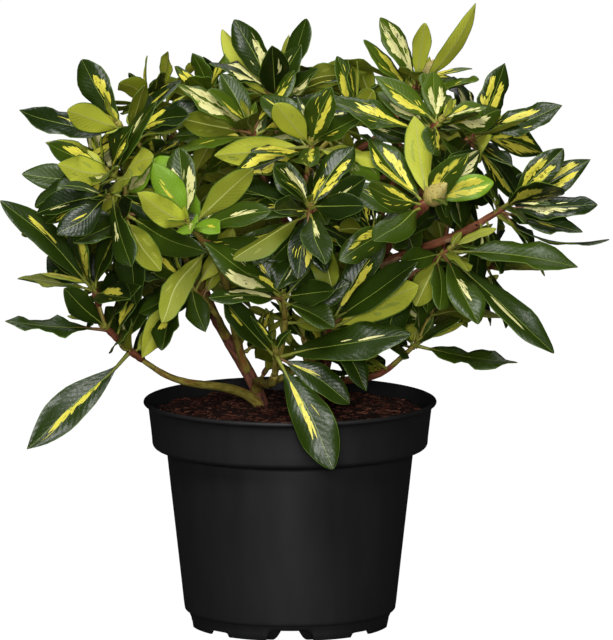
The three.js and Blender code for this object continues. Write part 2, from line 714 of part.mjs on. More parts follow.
// Stems are cut flat at the soil; a bough is cut back from what it grows on.
const ground = solidOf(new THREE.BoxGeometry(300, 300, 40).translate(0, 0, SOIL.top + GAP - 20));
for (const [name, limb] of Object.entries(limbs)) {
  let solid = limbSolid(limb);
  if (name in STEMS) {
    solid = solid.subtract(ground);
  } else {
    const row = name === 'young_shoot' ? YOUNG_SHOOT : MASSES[name.replace('_bough', '')];
    solid = solid.subtract(limbSolid(limbs[row.on], GAP)).subtract(ground);
  }
  addPart(name, mainBody(solid), name in STEMS ? MATERIALS.bark : MATERIALS.youngBark);
}
for (const mass of masses) addPart(mass.name, massSolid(mass), MATERIALS.foliage);

export default group;
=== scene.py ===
"""A variegated rhododendron in its black plastic pot: the looks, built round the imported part.

The crown grows by the same seeded rule as the solids do, in millimetres, and is then carried on to
shaped blades, stalks, yellow streaks, buds and young leaves. Every surface is worked out with numpy
as rings of points along a path, and put into its mesh in metres.
"""

from collections import namedtuple

import bpy
import numpy as np
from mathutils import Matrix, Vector


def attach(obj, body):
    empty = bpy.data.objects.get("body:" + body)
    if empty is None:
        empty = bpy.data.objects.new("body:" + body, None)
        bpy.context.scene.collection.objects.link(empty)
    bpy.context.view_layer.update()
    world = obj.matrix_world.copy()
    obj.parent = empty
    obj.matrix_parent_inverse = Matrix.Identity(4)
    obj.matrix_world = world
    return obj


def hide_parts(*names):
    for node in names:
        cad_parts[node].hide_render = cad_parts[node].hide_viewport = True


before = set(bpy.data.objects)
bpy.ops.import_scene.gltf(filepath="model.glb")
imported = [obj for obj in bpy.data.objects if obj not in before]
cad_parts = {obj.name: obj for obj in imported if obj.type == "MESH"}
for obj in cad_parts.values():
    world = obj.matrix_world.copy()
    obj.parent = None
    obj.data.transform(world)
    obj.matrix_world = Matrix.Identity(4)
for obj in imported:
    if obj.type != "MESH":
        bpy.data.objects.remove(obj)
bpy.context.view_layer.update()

MM = 0.001

# ---------- driving dimensions, in mm

GAP = 0.3  # clear space between a limb and what grows on from its tip

POT_HEIGHT = 180.0
LIP_RADIUS = 116.3
SOIL_TOP = 170.0

# Stems: Bezier control points, radius at the soil and at the tip, and how much the foot flares.
STEMS = {
    "main_stem": ([[-20, 32, 160], [-27, 28, 205], [-66, 14, 232], [-74, 6, 292]], 5.6, 3.6, 3.2),
    "second_stem": ([[21, 30, 160], [26, 28, 210], [36, 20, 252], [72, 2, 296]], 5.4, 3.8, 2.6),
    "rear_stem": ([[24, 68, 160], [28, 72, 215], [18, 64, 285], [2, 48, 345]], 5.0, 3.4, 2.4),
}
FLARE_FALL = 22  # how soon the flare dies away along the stem
STEM_STEPS = 9
BOUGH_STEPS = 5
BOUGH_TAPER, PARENT_SHARE = 1.15, 0.68  # a bough's foot: of its tip's radius at least, of its parent's
SLEEVE_ROOM = 1.3  # a limb's plain sleeve, of its radius
LIMB_SLEEVE_FROM, TWIG_SLEEVE_FROM = 0.08, 0.12  # where along a limb or twig its sleeve starts
TWIG_RADIUS = 2.1
SPUR_LENGTH = 30  # from a bough's tip to the first whorl of its mass
FORK_AT = 0.35  # where twigs fork off a mass's stem

# Shoots lean out from the crown's axis, and rise more steeply above the height LEAN_ABOVE.
LEAN_REACH, LEAN_UP, LEAN_ABOVE, LEAN_STEEPER = 200, 0.5, 300, 0.002
# A seeded leaf or shoot stays inside this dome and above its skirt.
DOME_TOP, DOME_HALF_WIDTH, DOME_SKIRT, DOME_MIDDLE_Y = 462, 236, 235, 30

WHORL_LEAVES = 9
GOLDEN_TURN = np.radians(137.508)
ANY_TURN = 6.28  # times a seeded number: any direction round an axis
WHORL_RISE = 1.6  # from one leaf's root to the next, along the twig
LOWEST_PITCH, HIGHEST_PITCH = 104, 48  # degrees from the shoot's own direction
WHORL_STRAY = 0.5  # how far round its axis a leaf may stray, more with each try
WHORL_TRIES = 7
SHOOT_LENGTH, SHOOT_SPREAD, SHOOT_CLEAR, SHOOT_TRIES = 46, 45, 38, 40
SHOOT_MORE_SPREAD = 22  # degrees, by the seed
SHOOT_FROM, SHOOT_FROM_MORE = 0.25, 0.4  # where along the stem
SHOOT_MARGIN = 30  # how far under the dome's surface a shoot ends

LEAF_LENGTH = 74
LEAF_WIDTH = 0.38  # of its length, at the widest
LEAF_ARCH = 0.045  # bow of the midrib, of its length
LEAF_FOLD = 0.24  # how far the halves fold up, of the half width
LEAF_CLEAR = 2  # half of the space that a leaf keeps for itself
TURN_OUT = 0.7  # how far a blade turns its upper side to the outside of the crown
SIDEWAYS_SHARE, OUTSIDE_RISE = 0.2, 0.6  # the outside: more forwards or back than sideways, and up
# A long leaf is tried with its tip this much deeper and this share of its bow.
LONG_LEAF_TRIES = [(deeper, share) for deeper in (0, 12, -12, 24, -24, 40) for share in (1, 0.2, -0.8)]
# Half width of the plain blade along the leaf, that touching is tested with.
PLAIN_OUTLINE = ((0.17, 0.09), (0.46, 0.92), (0.78, 0.8))

# One row for each mass: the limb that carries its bough and where along it, the radius of its
# stem and its number of side shoots, then the whorls that follow each other along its stem and
# those that fork off it. A whorl is its centre, the tips of its longest leaves and, if it isn't the
# usual one, its number of other leaves. After a tip comes the side that the leaf turns out (1 its
# upper side, -1 its underside, 0 its edge, with the upper side to the sky) and how much it is bowed.
# The masses' seeds count on from FIRST_SEED.
FIRST_SEED = 11
Row = namedtuple("Row", "on at girth shoots whorls forks", defaults=[[]])
MASSES = {
    "low_left": Row("main_stem", 0.05, 2.3, 0, [
        [[-128, -62, 230], [[-206, -90, 155, 1, -2], [-123, -90, 257], [-96, -40, 246, -1]], 0],
        [[-145, -68, 249], [[-223, -80, 255, 0], [-176, -100, 284]], 3],
        [[-154, -62, 280], [[-226, -85, 351], [-214, -50, 284, 0], [-168, -90, 339]], 6],
    ]),
    "left_skirt": Row("main_stem", 0.7, 2.3, 1, [
        [[-142, -70, 372], [[-199, -80, 345], [-210, -50, 367], [-188, -95, 397], [-180, -120, 384, -1]]],
    ], [
        [[-128, -72, 330], [[-168, -105, 322], [-100, -115, 300]], 6],
    ]),
    "upper_left": Row("main_stem", 0.79, 2.3, 0, [
        [[-133, -40, 404], [[-163, -38, 456], [-212, -45, 417, 1, -0.8], [-173, -95, 423, -1]]],
    ], [
        [[-104, -25, 377], [[-108, -60, 398]], 5],
    ]),
    "upper_left_back": Row("main_stem", 1, 2.4, 2, [[[-111, 50, 412], [[-97, 70, 449]]]]),
    "left_fresh": Row("main_stem", 0.3, 2.6, 0, [
        [[-79, -100, 335], [[-106, -110, 384], [-28, -120, 381, -1], [-118, -130, 365, -1]]],
    ]),
    "left_inner": Row("main_stem", 0.55, 2.2, 0, [
        [[-82, -50, 283], [[-131, -90, 317], [-116, -70, 224], [-66, -60, 245], [-119, -45, 256]], 4],
    ]),
    "upper_centre_left": Row("rear_stem", 0.62, 2.3, 0, [
        [[-30, -25, 400], [[-89, -50, 438], [-87, -70, 412, -1], [-54, -30, 442]]],
    ], [
        [[-64, 12, 424], [[-77, 0, 455], [-79, -10, 440]], 6],
    ]),
    "crown_top": Row("rear_stem", 1, 2.5, 1, [
        [[-12, 15, 424], [
            [-44, 8, 482], [9, 10, 462], [13, 40, 479, 0], [-14, -30, 466], [-54, 20, 470, -1],
        ]],
    ]),
    "top_centre": Row("rear_stem", 0.78, 2.4, 0, [
        [[17, -60, 394], [[-11, -90, 428, -1], [-59, -90, 387, -1], [33, -85, 440]]],
    ], [
        [[50, -10, 410], [[37, 0, 454], [72, -40, 438]], 7],
    ]),
    "top_right": Row("rear_stem", 0.9, 2.5, 1, [
        [[103, 10, 432], [
            [146, -15, 498, 0, -2], [71, 5, 484], [106, -22, 483, -1], [78, 12, 471], [58, 15, 465],
            [149, 5, 436],
        ]],
    ]),
    "upper_right_front": Row("second_stem", 0.76, 2.4, 0, [
        [[117, -75, 412], [[66, -70, 447], [112, -75, 448], [142, -120, 427]]],
    ]),
    "right_shoulder": Row("second_stem", 1, 2.6, 1, [
        [[149, -25, 398], [
            [169, -12, 450], [214, -25, 418, 1, -0.5], [186, -70, 414], [150, -90, 390, -1],
            [174, -80, 375],
        ]],
    ]),
    "right_bud": Row("second_stem", 0.68, 4.2, 0, [
        [[108, -115, 355], [
            [97, -100, 418, -1], [62, -110, 398], [60, -155, 372], [139, -140, 396], [174, -150, 352],
        ], 5],
    ]),
    "far_right": Row("second_stem", 0.85, 3.0, 1, [
        [[172, -50, 343], [
            [214, -55, 388], [236, -45, 378], [241, -60, 344], [210, -115, 367], [229, -90, 325, 1, -0.5],
            [152, -75, 372], [252, -20, 311, 0, -1],
        ]],
    ]),
    "right_low": Row("second_stem", 0.55, 2.5, 0, [
        [[124, -80, 312], [
            [225, -90, 299], [206, -110, 234], [146, -130, 260], [86, -105, 305], [98, -90, 270],
        ], 3],
    ]),
    "low_right": Row("second_stem", 0.12, 2.3, 0, [
        [[101, -45, 233], [[179, -60, 219, 0, -1.2], [134, -85, 257], [64, -30, 222]], 2],
        [[114, -35, 261], [[168, -30, 250, 0]], 5],
    ]),
    "centre_front": Row("second_stem", 0.31, 2.4, 0, [
        [[16, -110, 350], [[6, -135, 296], [28, -140, 300], [-12, -150, 352], [59, -130, 375]]],
    ]),
    "mid_right": Row("second_stem", 0.45, 2.2, 0, [[[65, -60, 323], [[40, -60, 357], [95, -90, 321]]]]),
    "rim": Row("young_shoot", 1, 2.4, 0, [
        [[-11, -90, 232], [[34, -150, 149], [47, -95, 192], [-52, -112, 278], [95, -115, 250]], 0],
    ]),
    "centre_low": Row("young_shoot", 0.8, 2.3, 0, [
        [[-5, -105, 278], [[-67, -130, 325], [-31, -95, 319], [35, -95, 256]], 4],
    ]),
    "centre_right_low": Row("young_shoot", 0.66, 2.3, 0, [
        [[32, -85, 254], [
            [73, -80, 322], [100, -110, 308], [60, -95, 202], [100, -125, 290, -1], [18, -120, 297, -1],
        ], 5],
    ]),
    "back_left": Row("main_stem", 0.62, 2.6, 3, [[[-128, 85, 345], [[-196, 100, 372]]]]),
    "back_left_low": Row("main_stem", 0.42, 2.4, 3, [[[-95, 105, 275], [[-150, 140, 262]]]]),
    "back_centre": Row("rear_stem", 0.84, 2.6, 3, [[[-25, 115, 395], [[-50, 165, 435]]]]),
    "back_centre_low": Row("rear_stem", 0.45, 2.5, 3, [[[10, 150, 300], [[10, 215, 285]]]]),
    "back_right": Row("rear_stem", 0.7, 2.6, 3, [[[100, 110, 375], [[140, 165, 400]]]]),
    "back_right_low": Row("second_stem", 0.38, 2.5, 3, [[[130, 70, 285], [[200, 90, 270]]]]),
}
# The young shoot: the limb that carries it and where along it, its tip, its way there, its radius.
YOUNG_SHOOT = ("main_stem", 0.17, [-12, -66, 210], [0.05, -0.72, 0.69], 3.1)

# How each long leaf is marked, a letter each, whorl by whorl: h heavily streaked, l lightly, w one
# wide streak, n plain, f fresh green, u shown from its underside, y the same and lime yellow. A
# capital is a narrow leaf.
LONG_LEAF_MARKS = {
    "low_left": "wuu nn luh", "left_skirt": "lnhu nu", "upper_left": "hlu w", "upper_left_back": "u",
    "left_fresh": "fuu", "left_inner": "hunn", "upper_centre_left": "hul nn", "crown_top": "hlnly",
    "top_centre": "yuh hl", "top_right": "yhYhhh", "upper_right_front": "hhh",
    "right_shoulder": "hhyuh", "right_bud": "yhhhn", "far_right": "hhhhlnn", "right_low": "nllnu",
    "low_right": "nnn u", "centre_front": "hlll", "mid_right": "ln", "rim": "wlll",
    "centre_low": "hln", "centre_right_low": "hnluf",
}

# Long leaves that hang or turn in their own way: for a mass and one of its whorls, how far each of
# these is turned to the front, what is added to its bow, and its breadth of the rule's.
OWN_SHAPES = {
    ("low_left", 0): {0: (1.2, 0, 0.88)},
    ("low_left", 1): {0: (0.4, -0.05, 0.95)},
    ("low_left", 2): {0: (0, 0, 0.8), 1: (0.2, 0, 1)},
    ("left_skirt", 0): {1: (0, -0.1, 0.95), 2: (0, -0.08, 0.95)},
    ("upper_left", 0): {0: (0, 0, 1.1), 1: (0, -0.1, 0.95)},
    ("top_right", 0): {0: (0.6, 0, 0.7), 1: (0.4, 0, 1.1)},
    ("low_right", 0): {0: (0.35, 0.02, 1)},
    ("low_right", 1): {0: (0.3, 0, 1)},
    ("far_right", 0): {6: (0.1, -0.08, 0.9)},
    ("right_shoulder", 0): {0: (0.3, 0, 1.1)},
    ("right_low", 0): {1: (0, -0.05, 0.76)},
    ("rim", 0): {0: (0.5, 0, 1)},
}

# The masses that are joined into one piece of each kind, and the seed of what is dealt out there.
REGIONS = {
    "left": ("low_left", "left_skirt", "upper_left", "upper_left_back", "left_inner", "left_fresh"),
    "middle": (
        "upper_centre_left", "crown_top", "top_centre", "centre_front", "centre_low",
        "centre_right_low", "rim", "mid_right",
    ),
    "right": (
        "top_right", "upper_right_front", "right_shoulder", "right_bud", "far_right", "right_low",
        "low_right",
    ),
    "back": (
        "back_left", "back_left_low", "back_centre", "back_centre_low", "back_right", "back_right_low",
    ),
}
REGION_SEEDS = {"left": 1, "middle": 2, "right": 2, "back": 1}
STREAK_SEEDS_FROM = 100
TWIG_SEED, BUD_SEED, LIMB_SEED, SOIL_SEED = 72, 73, 74, 75

# What this script grows beyond the rule that the solids share.
OLD_LEAVES = 7  # below each whorl
OLD_LENGTH = 76
OLD_FROM, OLD_STEP, OLD_BEYOND = 9, 4.5, 12  # down the twig: the first, the next ones, past its end
OLD_PITCH, OLD_PITCH_RANGE, OLD_DROOP = 88, 44, 2  # degrees off the twig; the lower, the more
OLD_STRAY = 1.2
OLD_TRIES = 9
OLD_ROLL = 1.3  # how far an old leaf may be turned about its own length, both ways together
YOUNG_LEAVES = 3  # small ones round each bud
YOUNG_LENGTH = 24
YOUNG_PITCH, YOUNG_PITCH_RANGE, YOUNG_OPENING = 18, 14, 10  # degrees off the axis; more each time
YOUNG_STRAY = 0.8
YOUNG_SLENDER = 0.42
YOUNG_ROOM = 8  # how far they may stand out of the crown's dome
YOUNG_TRIES = 5
FINE_CLEAR = 0.9  # half of the space that an old or young leaf keeps for itself
# Small sprigs low on the stems: the mass they count with, the limb, how far along it, and the way.
SPRIGS = (
    ("left_inner", "main_stem", 0.42, (18, 4, 12)),
    ("left_inner", "main_stem", 0.2, (14, 16, 20)),
    ("mid_right", "second_stem", 0.34, (-16, -4, 12)),
    ("mid_right", "second_stem", 0.2, (-12, 10, 16)),
    ("back_centre_low", "rear_stem", 0.36, (-22, -6, 6)),
    ("low_right", "low_right_bough", 0.62, (-6, 14, 16)),
    ("low_right", "low_right_bough", 0.35, (6, -8, 15)),
)
SPRIG_RADIUS = 1.5
SPRIG_HANGS = 34  # how much lower their leaves may reach than the crown's skirt

# The camera stands in front, tilted down by this much, and looks at this point from this far.
CAMERA_TILT = np.radians(8.75)
VIEW_MIDDLE = np.array([13.05, 0, 243.6])
CAMERA_AWAY = 7.0  # in metres
TO_FRONT = np.array([0, -np.cos(CAMERA_TILT), np.sin(CAMERA_TILT)])
# Places left open so that stems and sky show between the leaves: how far to the right they run, how
# high in mm as the camera sees it, up from the middle, and what is nearer than this depth.
OPENINGS = (
    ((-88, -52), (-50, 14), 400), ((-62, -20), (-62, 0), 14), ((-31, 42), (-52, -6), -62),
    ((99, 150), (54, 90), -34), ((60, 150), (-62, -44), 400), ((88, 150), (-46, -32), 400),
    ((-234, -140), (-52, 0), 400), ((-216, -176), (104, 142), 400), ((-190, -165), (-12, 34), 400),
    ((178, 206), (4, 36), 400),
)
# Seeded leaves that have fallen: for a mass and one of its whorls, by their number in it.
FALLEN = {
    ("left_skirt", 2): (0,), ("upper_left_back", 0): (6,), ("upper_centre_left", 1): (5, 10, 11),
    ("right_low", 0): (5,), ("right_bud", 0): (9,), ("low_right", 1): (2,), ("top_centre", 0): (4,),
    ("back_right_low", 0): (2,), ("back_right_low", 1): (0,), ("back_right_low", 2): (5,),
    ("back_right_low", 3): (8,), ("back_centre", 1): (4,), ("back_right", 1): (1,),
}

# ---------- vectors, curves, seeded numbers

SLANT = np.array([0.31, 0.87, 0.38])
UP = np.array([0.0, 0.0, 1.0])


def vec(point):
    return np.array(point, float)


def unit(vectors):
    """The vectors, each divided by its own length."""
    return vectors / np.linalg.norm(vectors, axis=-1, keepdims=True)


def square_to(ways):
    """Two unit vectors square to each way and to each other: way x slant, and way x that."""
    across = unit(np.cross(ways, SLANT))
    return across, np.cross(ways, across)


def seeded_numbers(seed):
    """Numbers from 0 to 1 by the Lehmer rule: each state is 48271 times the last, modulo 2^31 - 1."""
    state = seed * 7919

    def number():
        nonlocal state
        state = state * 48271 % 2147483647
        return state / 2147483647

    return number


def on_curve(curve, t):
    """The point at each t: on the line between two control points, or the cubic Bezier of four."""
    t = np.asarray(t, float)[..., None]
    if len(curve) == 2:
        return curve[0] + (curve[1] - curve[0]) * t
    rest = 1 - t
    return (
        rest ** 3 * curve[0] + 3 * rest ** 2 * t * curve[1]
        + 3 * rest * t ** 2 * curve[2] + t ** 3 * curve[3]
    )


def way_on(curve, t):
    """The curve's own direction at each t: from the point just before it to the one just after."""
    t = np.asarray(t, float)
    return unit(on_curve(curve, np.minimum(1, t + 1e-4)) - on_curve(curve, np.maximum(0, t - 1e-4)))


def run_along(path):
    """How far along the path each of its points is."""
    return np.concatenate([[0], np.cumsum(np.linalg.norm(np.diff(path, axis=0), axis=1))])


def circle(sides):
    """The angles of a ring's points."""
    return np.arange(sides) * 2 * np.pi / sides


def ring_of_ways(angle, across, over):
    """At each row's pair of vectors, a ring of ways: across times cos and over times sin."""
    return np.cos(angle)[:, None] * across[:, None] + np.sin(angle)[:, None] * over[:, None]


def tilted(axis, angle, pitch):
    """The way that leans off the axis by `pitch`, to the side that `angle` gives round it."""
    across, over = square_to(axis)
    sideways = across * np.cos(angle) + over * np.sin(angle)
    return axis * np.cos(pitch) + sideways * np.sin(pitch)


def lean_at(point):
    """The way that a shoot leans at a point: out from the crown's axis, and up."""
    rise = LEAN_UP + LEAN_STEEPER * max(0, point[2] - LEAN_ABOVE)
    return unit(vec([point[0] / LEAN_REACH, point[1] / LEAN_REACH, rise]))


# ---------- limbs


# A tapered limb: its curve, its radius at t, and how many steps its sleeve has.
Limb = namedtuple("Limb", "curve radius_at steps")


def stem_limb(points, low, high, flare):
    """A stem: the radius runs evenly from foot to tip, plus a flare that falls off exponentially."""
    return Limb(
        vec(points), lambda t: low + (high - low) * t + flare * np.exp(-FLARE_FALL * t), STEM_STEPS,
    )


def bough_limb(parent, at, tip, heading, tip_radius):
    """A bough leaves its parent a little along the parent's own way and arrives along `heading`."""
    onward = way_on(parent.curve, at)
    start = on_curve(parent.curve, at)
    if at == 1:
        start = start + onward * GAP
    to_tip = tip - start
    third = np.linalg.norm(to_tip) / 3
    leaving = onward if at == 1 else unit(unit(to_tip) + onward)
    curve = np.array([start, start + leaving * third, tip - heading * third, tip])
    low = max(tip_radius * BOUGH_TAPER, parent.radius_at(at) * PARENT_SHARE)
    if at == 1:
        low = parent.radius_at(1)
    return Limb(curve, lambda t: low + (tip_radius - low) * t, BOUGH_STEPS)


# ---------- what touches what


class TakenSpace:
    """Everything that has grown so far, as triangles, segments and one box for each shape."""

    def __init__(self):
        self.boxes = np.empty((0, 2, 3))
        self.triangles = np.empty((0, 3, 3))
        self.segments = np.empty((0, 2, 3))
        self.triangle_owner = np.empty(0, int)
        self.segment_owner = np.empty(0, int)

    def take(self, triangles, segments):
        owner = len(self.boxes)
        points = np.concatenate([triangles.reshape(-1, 3), segments.reshape(-1, 3)])
        box = np.array([[points.min(0), points.max(0)]])
        self.boxes = np.concatenate([self.boxes, box])
        self.triangles = np.concatenate([self.triangles, triangles])
        self.segments = np.concatenate([self.segments, segments])
        self.triangle_owner = np.append(self.triangle_owner, np.full(len(triangles), owner))
        self.segment_owner = np.append(self.segment_owner, np.full(len(segments), owner))

    def touches(self, triangles, segments):
        """Is any segment of one inside a triangle of the other, among shapes whose boxes meet?"""
        points = np.concatenate([triangles.reshape(-1, 3), segments.reshape(-1, 3)])
        low, high = points.min(0), points.max(0)
        near = ((self.boxes[:, 0] <= high) & (self.boxes[:, 1] >= low)).all(1)
        if not near.any():
            return False
        near_triangles = self.triangles[near[self.triangle_owner]]
        near_segments = self.segments[near[self.segment_owner]]
        return pierces(segments, near_triangles) or pierces(near_segments, triangles)


def pierces(segments, triangles):
    """Does any segment pass through any triangle? Each pair is solved for the place along the
    segment and the two places across the triangle's edges, which must all lie inside."""
    start = segments[:, None, 0]
    along = segments[:, None, 1] - start
    corner = triangles[None, :, 0]
    edge_1 = triangles[None, :, 1] - corner
    edge_2 = triangles[None, :, 2] - corner
    h = np.cross(along, edge_2)
    det = (edge_1 * h).sum(-1)
    flat = np.abs(det) < 1e-12
    det = np.where(flat, 1, det)
    offset = start - corner
    u = (offset * h).sum(-1) / det
    turned = np.cross(offset, edge_1)
    v = (along * turned).sum(-1) / det
    t = (edge_2 * turned).sum(-1) / det
    inside = (u >= 0) & (u <= 1) & (v >= 0) & (u + v <= 1) & (t >= 0) & (t <= 1)
    return bool((inside & ~flat).any())


def strips(a, b):
    """The triangles and segments between two rows of rings, each point joined to the next."""
    next_a, next_b = np.roll(a, -1, axis=-2), np.roll(b, -1, axis=-2)
    triangles = np.stack([np.stack([a, next_a, next_b], -2), np.stack([a, next_b, b], -2)])
    return triangles.reshape(-1, 3, 3), np.stack([a, b], -2).reshape(-1, 2, 3)


def sleeve(curve, radius_at, steps, start):
    """The plain four-sided sleeve round a limb or twig, from `start` to its tip."""
    t = start + (1 - start) * np.arange(steps + 1) / steps
    across, over = square_to(way_on(curve, t))
    reach = (SLEEVE_ROOM * radius_at(t))[:, None]
    sides = [across * reach, over * reach, -across * reach, -over * reach]
    rings = on_curve(curve, t)[:, None] + np.stack(sides, 1)
    return strips(rings[:-1], rings[1:])


def pot_ring():
    """The pot's collar and lip as a plain ring that leaves keep off."""
    angle = np.arange(24) * np.pi / 12
    round_it = np.stack([np.cos(angle), np.sin(angle)], -1) * (LIP_RADIUS + 2)
    top, low = (np.column_stack([round_it, np.full(24, z)]) for z in (POT_HEIGHT + 2, 100))
    return strips(top[None], low[None])


# ---------- leaves, as the rule sets them


class Leaf(namedtuple("Leaf", "root way upper length half arch mark", defaults=[""])):
    """One leaf: root, direction of its chord, its upper side, length, half width, bow and mark."""

    def as_shown(self, over, slim):
        """The same leaf, with its underside where its upper side was if `over`, and slimmer."""
        sign = -1 if over else 1
        return self._replace(upper=self.upper * sign, half=self.half * slim, arch=self.arch * sign)

    def reshaped(self, mark, share, bow, breadth):
        """The leaf with this mark, turned about its chord so that the side it shows faces the front
        by `share` more, with more bow, and of this breadth."""
        sign = 1 if self.upper @ TO_FRONT > 0 else -1
        upper = self.upper * sign + TO_FRONT * share
        upper = sign * unit(upper - self.way * (upper @ self.way))
        return self._replace(upper=upper, half=self.half * breadth, arch=self.arch + bow, mark=mark)

    def plain(self, s, x):
        """Points of the plain blade, s along the chord and x mm across: bowed, and folded in V."""
        s, x = vec(s), vec(x)
        rise = self.arch * self.length * 4 * s * (1 - s) + LEAF_FOLD * np.abs(x)
        side = np.cross(self.upper, self.way)
        return (
            self.root + self.way * (s * self.length)[:, None]
            + self.upper * rise[:, None] + side * x[:, None]
        )

    def shape(self, lifts):
        """The blade as a fan round its middle, at each height above its own, and its stalk."""
        places = [(s, -w) for s, w in PLAIN_OUTLINE] + [(1, 0)] + [(s, w) for s, w in PLAIN_OUTLINE[::-1]]
        s, w = np.array(places).T
        rim = self.plain(s, w * self.half)
        middle = self.plain([0.5], [0])
        stalk = self.plain([0.06, 0.17], [0, 0])[None]
        triangles, segments = [], [stalk]
        for lift in lifts:
            raised = rim + self.upper * lift
            centre = np.broadcast_to(middle + self.upper * lift, raised.shape)
            onward = np.roll(raised, -1, axis=0)
            triangles.append(np.stack([centre, raised, onward], 1))
            segments += [np.stack([raised, onward], 1), np.stack([centre, raised], 1)]
        if len(lifts) > 1:
            ends = np.concatenate([rim, middle])
            segments.append(np.stack([ends + self.upper * lifts[0], ends + self.upper * lifts[-1]], 1))
        return np.concatenate(triangles), np.concatenate(segments)


class Whorl:
    """A whorl at the end of a twig, its leaves set round an axis between the twig's way and the lean."""

    def __init__(self, twig, centre, long_leaves=(), count=WHORL_LEAVES):
        self.centre = vec(centre)
        self.long_leaves = long_leaves
        self.count = count
        self.stalk = unit(twig.curve[1] - twig.curve[0])
        self.axis = unit(self.stalk + lean_at(self.centre))
        self.marks = "l" * len(long_leaves)
        self.own_shapes = {}
        self.hangs = 0
        self.leaves = []
        self.young = []


class Twig:
    """A straight twig: its two ends, and its radius."""

    def __init__(self, start, end, radius=TWIG_RADIUS):
        self.curve = np.array([start, end], float)
        self.radius = radius

    def sleeve(self):
        return sleeve(self.curve, lambda t: self.radius + 0 * t, 1, TWIG_SLEEVE_FROM)


class Mass:
    """A mass: its name, row, seeded numbers, twigs and whorls."""

    def __init__(self, name, seed, foot):
        row = MASSES[name]
        self.name = name
        self.row = row
        self.random = seeded_numbers(seed)
        centres = [vec(whorl[0]) for whorl in row.whorls]
        fork_from = foot + (centres[0] - foot) * FORK_AT
        self.twigs = [Twig(foot, centres[0], row.girth)]
        self.twigs += [Twig(start, end) for start, end in zip(centres, centres[1:])]
        self.twigs += [Twig(fork_from, fork[0]) for fork in row.forks]
        self.whorls = [Whorl(twig, *whorl) for twig, whorl in zip(self.twigs, row.whorls + row.forks)]
        for i, marks in enumerate(LONG_LEAF_MARKS.get(name, "").split()):
            self.whorls[i].marks = marks
            self.whorls[i].own_shapes = OWN_SHAPES.get((name, i), {})


# ---------- the seeded rule


def in_crown(point, margin=0):
    """Is the point inside the crown's dome, `margin` under its surface, and above its skirt?"""
    out = np.hypot(point[0], point[1]) / (DOME_HALF_WIDTH - margin)
    roof = DOME_SKIRT + (DOME_TOP - margin - DOME_SKIRT) * np.sqrt(max(0, 1 - out ** 3))
    return out < 1 and DOME_SKIRT < point[2] < roof


def upper_side(axis, way, tip, face):
    """The side that a leaf's upper face turns to: its shoot's axis, and the outside of the crown."""
    outside = unit(vec([SIDEWAYS_SHARE * tip[0], tip[1] - DOME_MIDDLE_Y, 0])) + UP * OUTSIDE_RISE
    wanted = UP if face == 0 else axis + outside * face
    return unit(wanted - way * (wanted @ way))


def try_leaf(taken, whorl, root, tip, arch, face, slender=1.0, clear=LEAF_CLEAR, roll=0.0):
    """The leaf from root to tip if it is clear of everything that has grown so far, or None."""
    length = np.linalg.norm(tip - root)
    way = (tip - root) / length
    half = 0.25 * (length + LEAF_LENGTH) * LEAF_WIDTH * slender
    upper = upper_side(whorl.axis, way, tip, face)
    if roll:
        upper = upper * np.cos(roll) + np.cross(way, upper) * np.sin(roll)
    leaf = Leaf(root, way, upper, length, half, arch)
    if taken.touches(*leaf.shape([-clear, clear])):
        return None
    taken.take(*leaf.shape([0]))
    return leaf


def grow_shoots(mass, masses, taken):
    """Side shoots: each forks off the mass's stem, is turned on by the seed, and ends in a whorl."""
    random = mass.random
    foot, end = mass.twigs[0].curve
    stem_axis = unit(end - foot)
    for k in range(mass.row.shoots):
        for attempt in range(SHOOT_TRIES):
            angle = GOLDEN_TURN * (k + attempt) + ANY_TURN * random()
            spread = np.radians(SHOOT_SPREAD + SHOOT_MORE_SPREAD * random())
            heading = unit(tilted(stem_axis, angle, spread))
            start = foot + (end - foot) * (SHOOT_FROM + SHOOT_FROM_MORE * random())
            tip = start + heading * (SHOOT_LENGTH * (0.85 + 0.5 * random()))
            twig = Twig(start, tip)
            centres = np.array([whorl.centre for other in masses for whorl in other.whorls])
            roomy = np.linalg.norm(centres - tip, axis=1).min() > SHOOT_CLEAR
            if roomy and in_crown(tip, SHOOT_MARGIN) and not taken.touches(*twig.sleeve()):
                mass.twigs.append(twig)
                taken.take(*twig.sleeve())
                mass.whorls.append(Whorl(twig, tip))
                break


def grow_long_leaves(whorl, taken):
    """The leaves whose tips are given, each tried with less bow and with its tip moved in depth."""
    for i, (x, y, z, *rest) in enumerate(whorl.long_leaves):
        face, bow = (rest + [1, 1][len(rest):])
        root = whorl.centre - whorl.stalk * WHORL_RISE * (i + 2)
        for deeper, share in LONG_LEAF_TRIES:
            tip = vec([x, y + deeper, z])
            leaf = try_leaf(taken, whorl, root, tip, LEAF_ARCH * bow * share, face * TURN_OUT * 2)
            if leaf:
                own_shape = whorl.own_shapes.get(i, (0, 0, 1))
                whorl.leaves.append(leaf.reshaped(whorl.marks[i], *own_shape))
                break


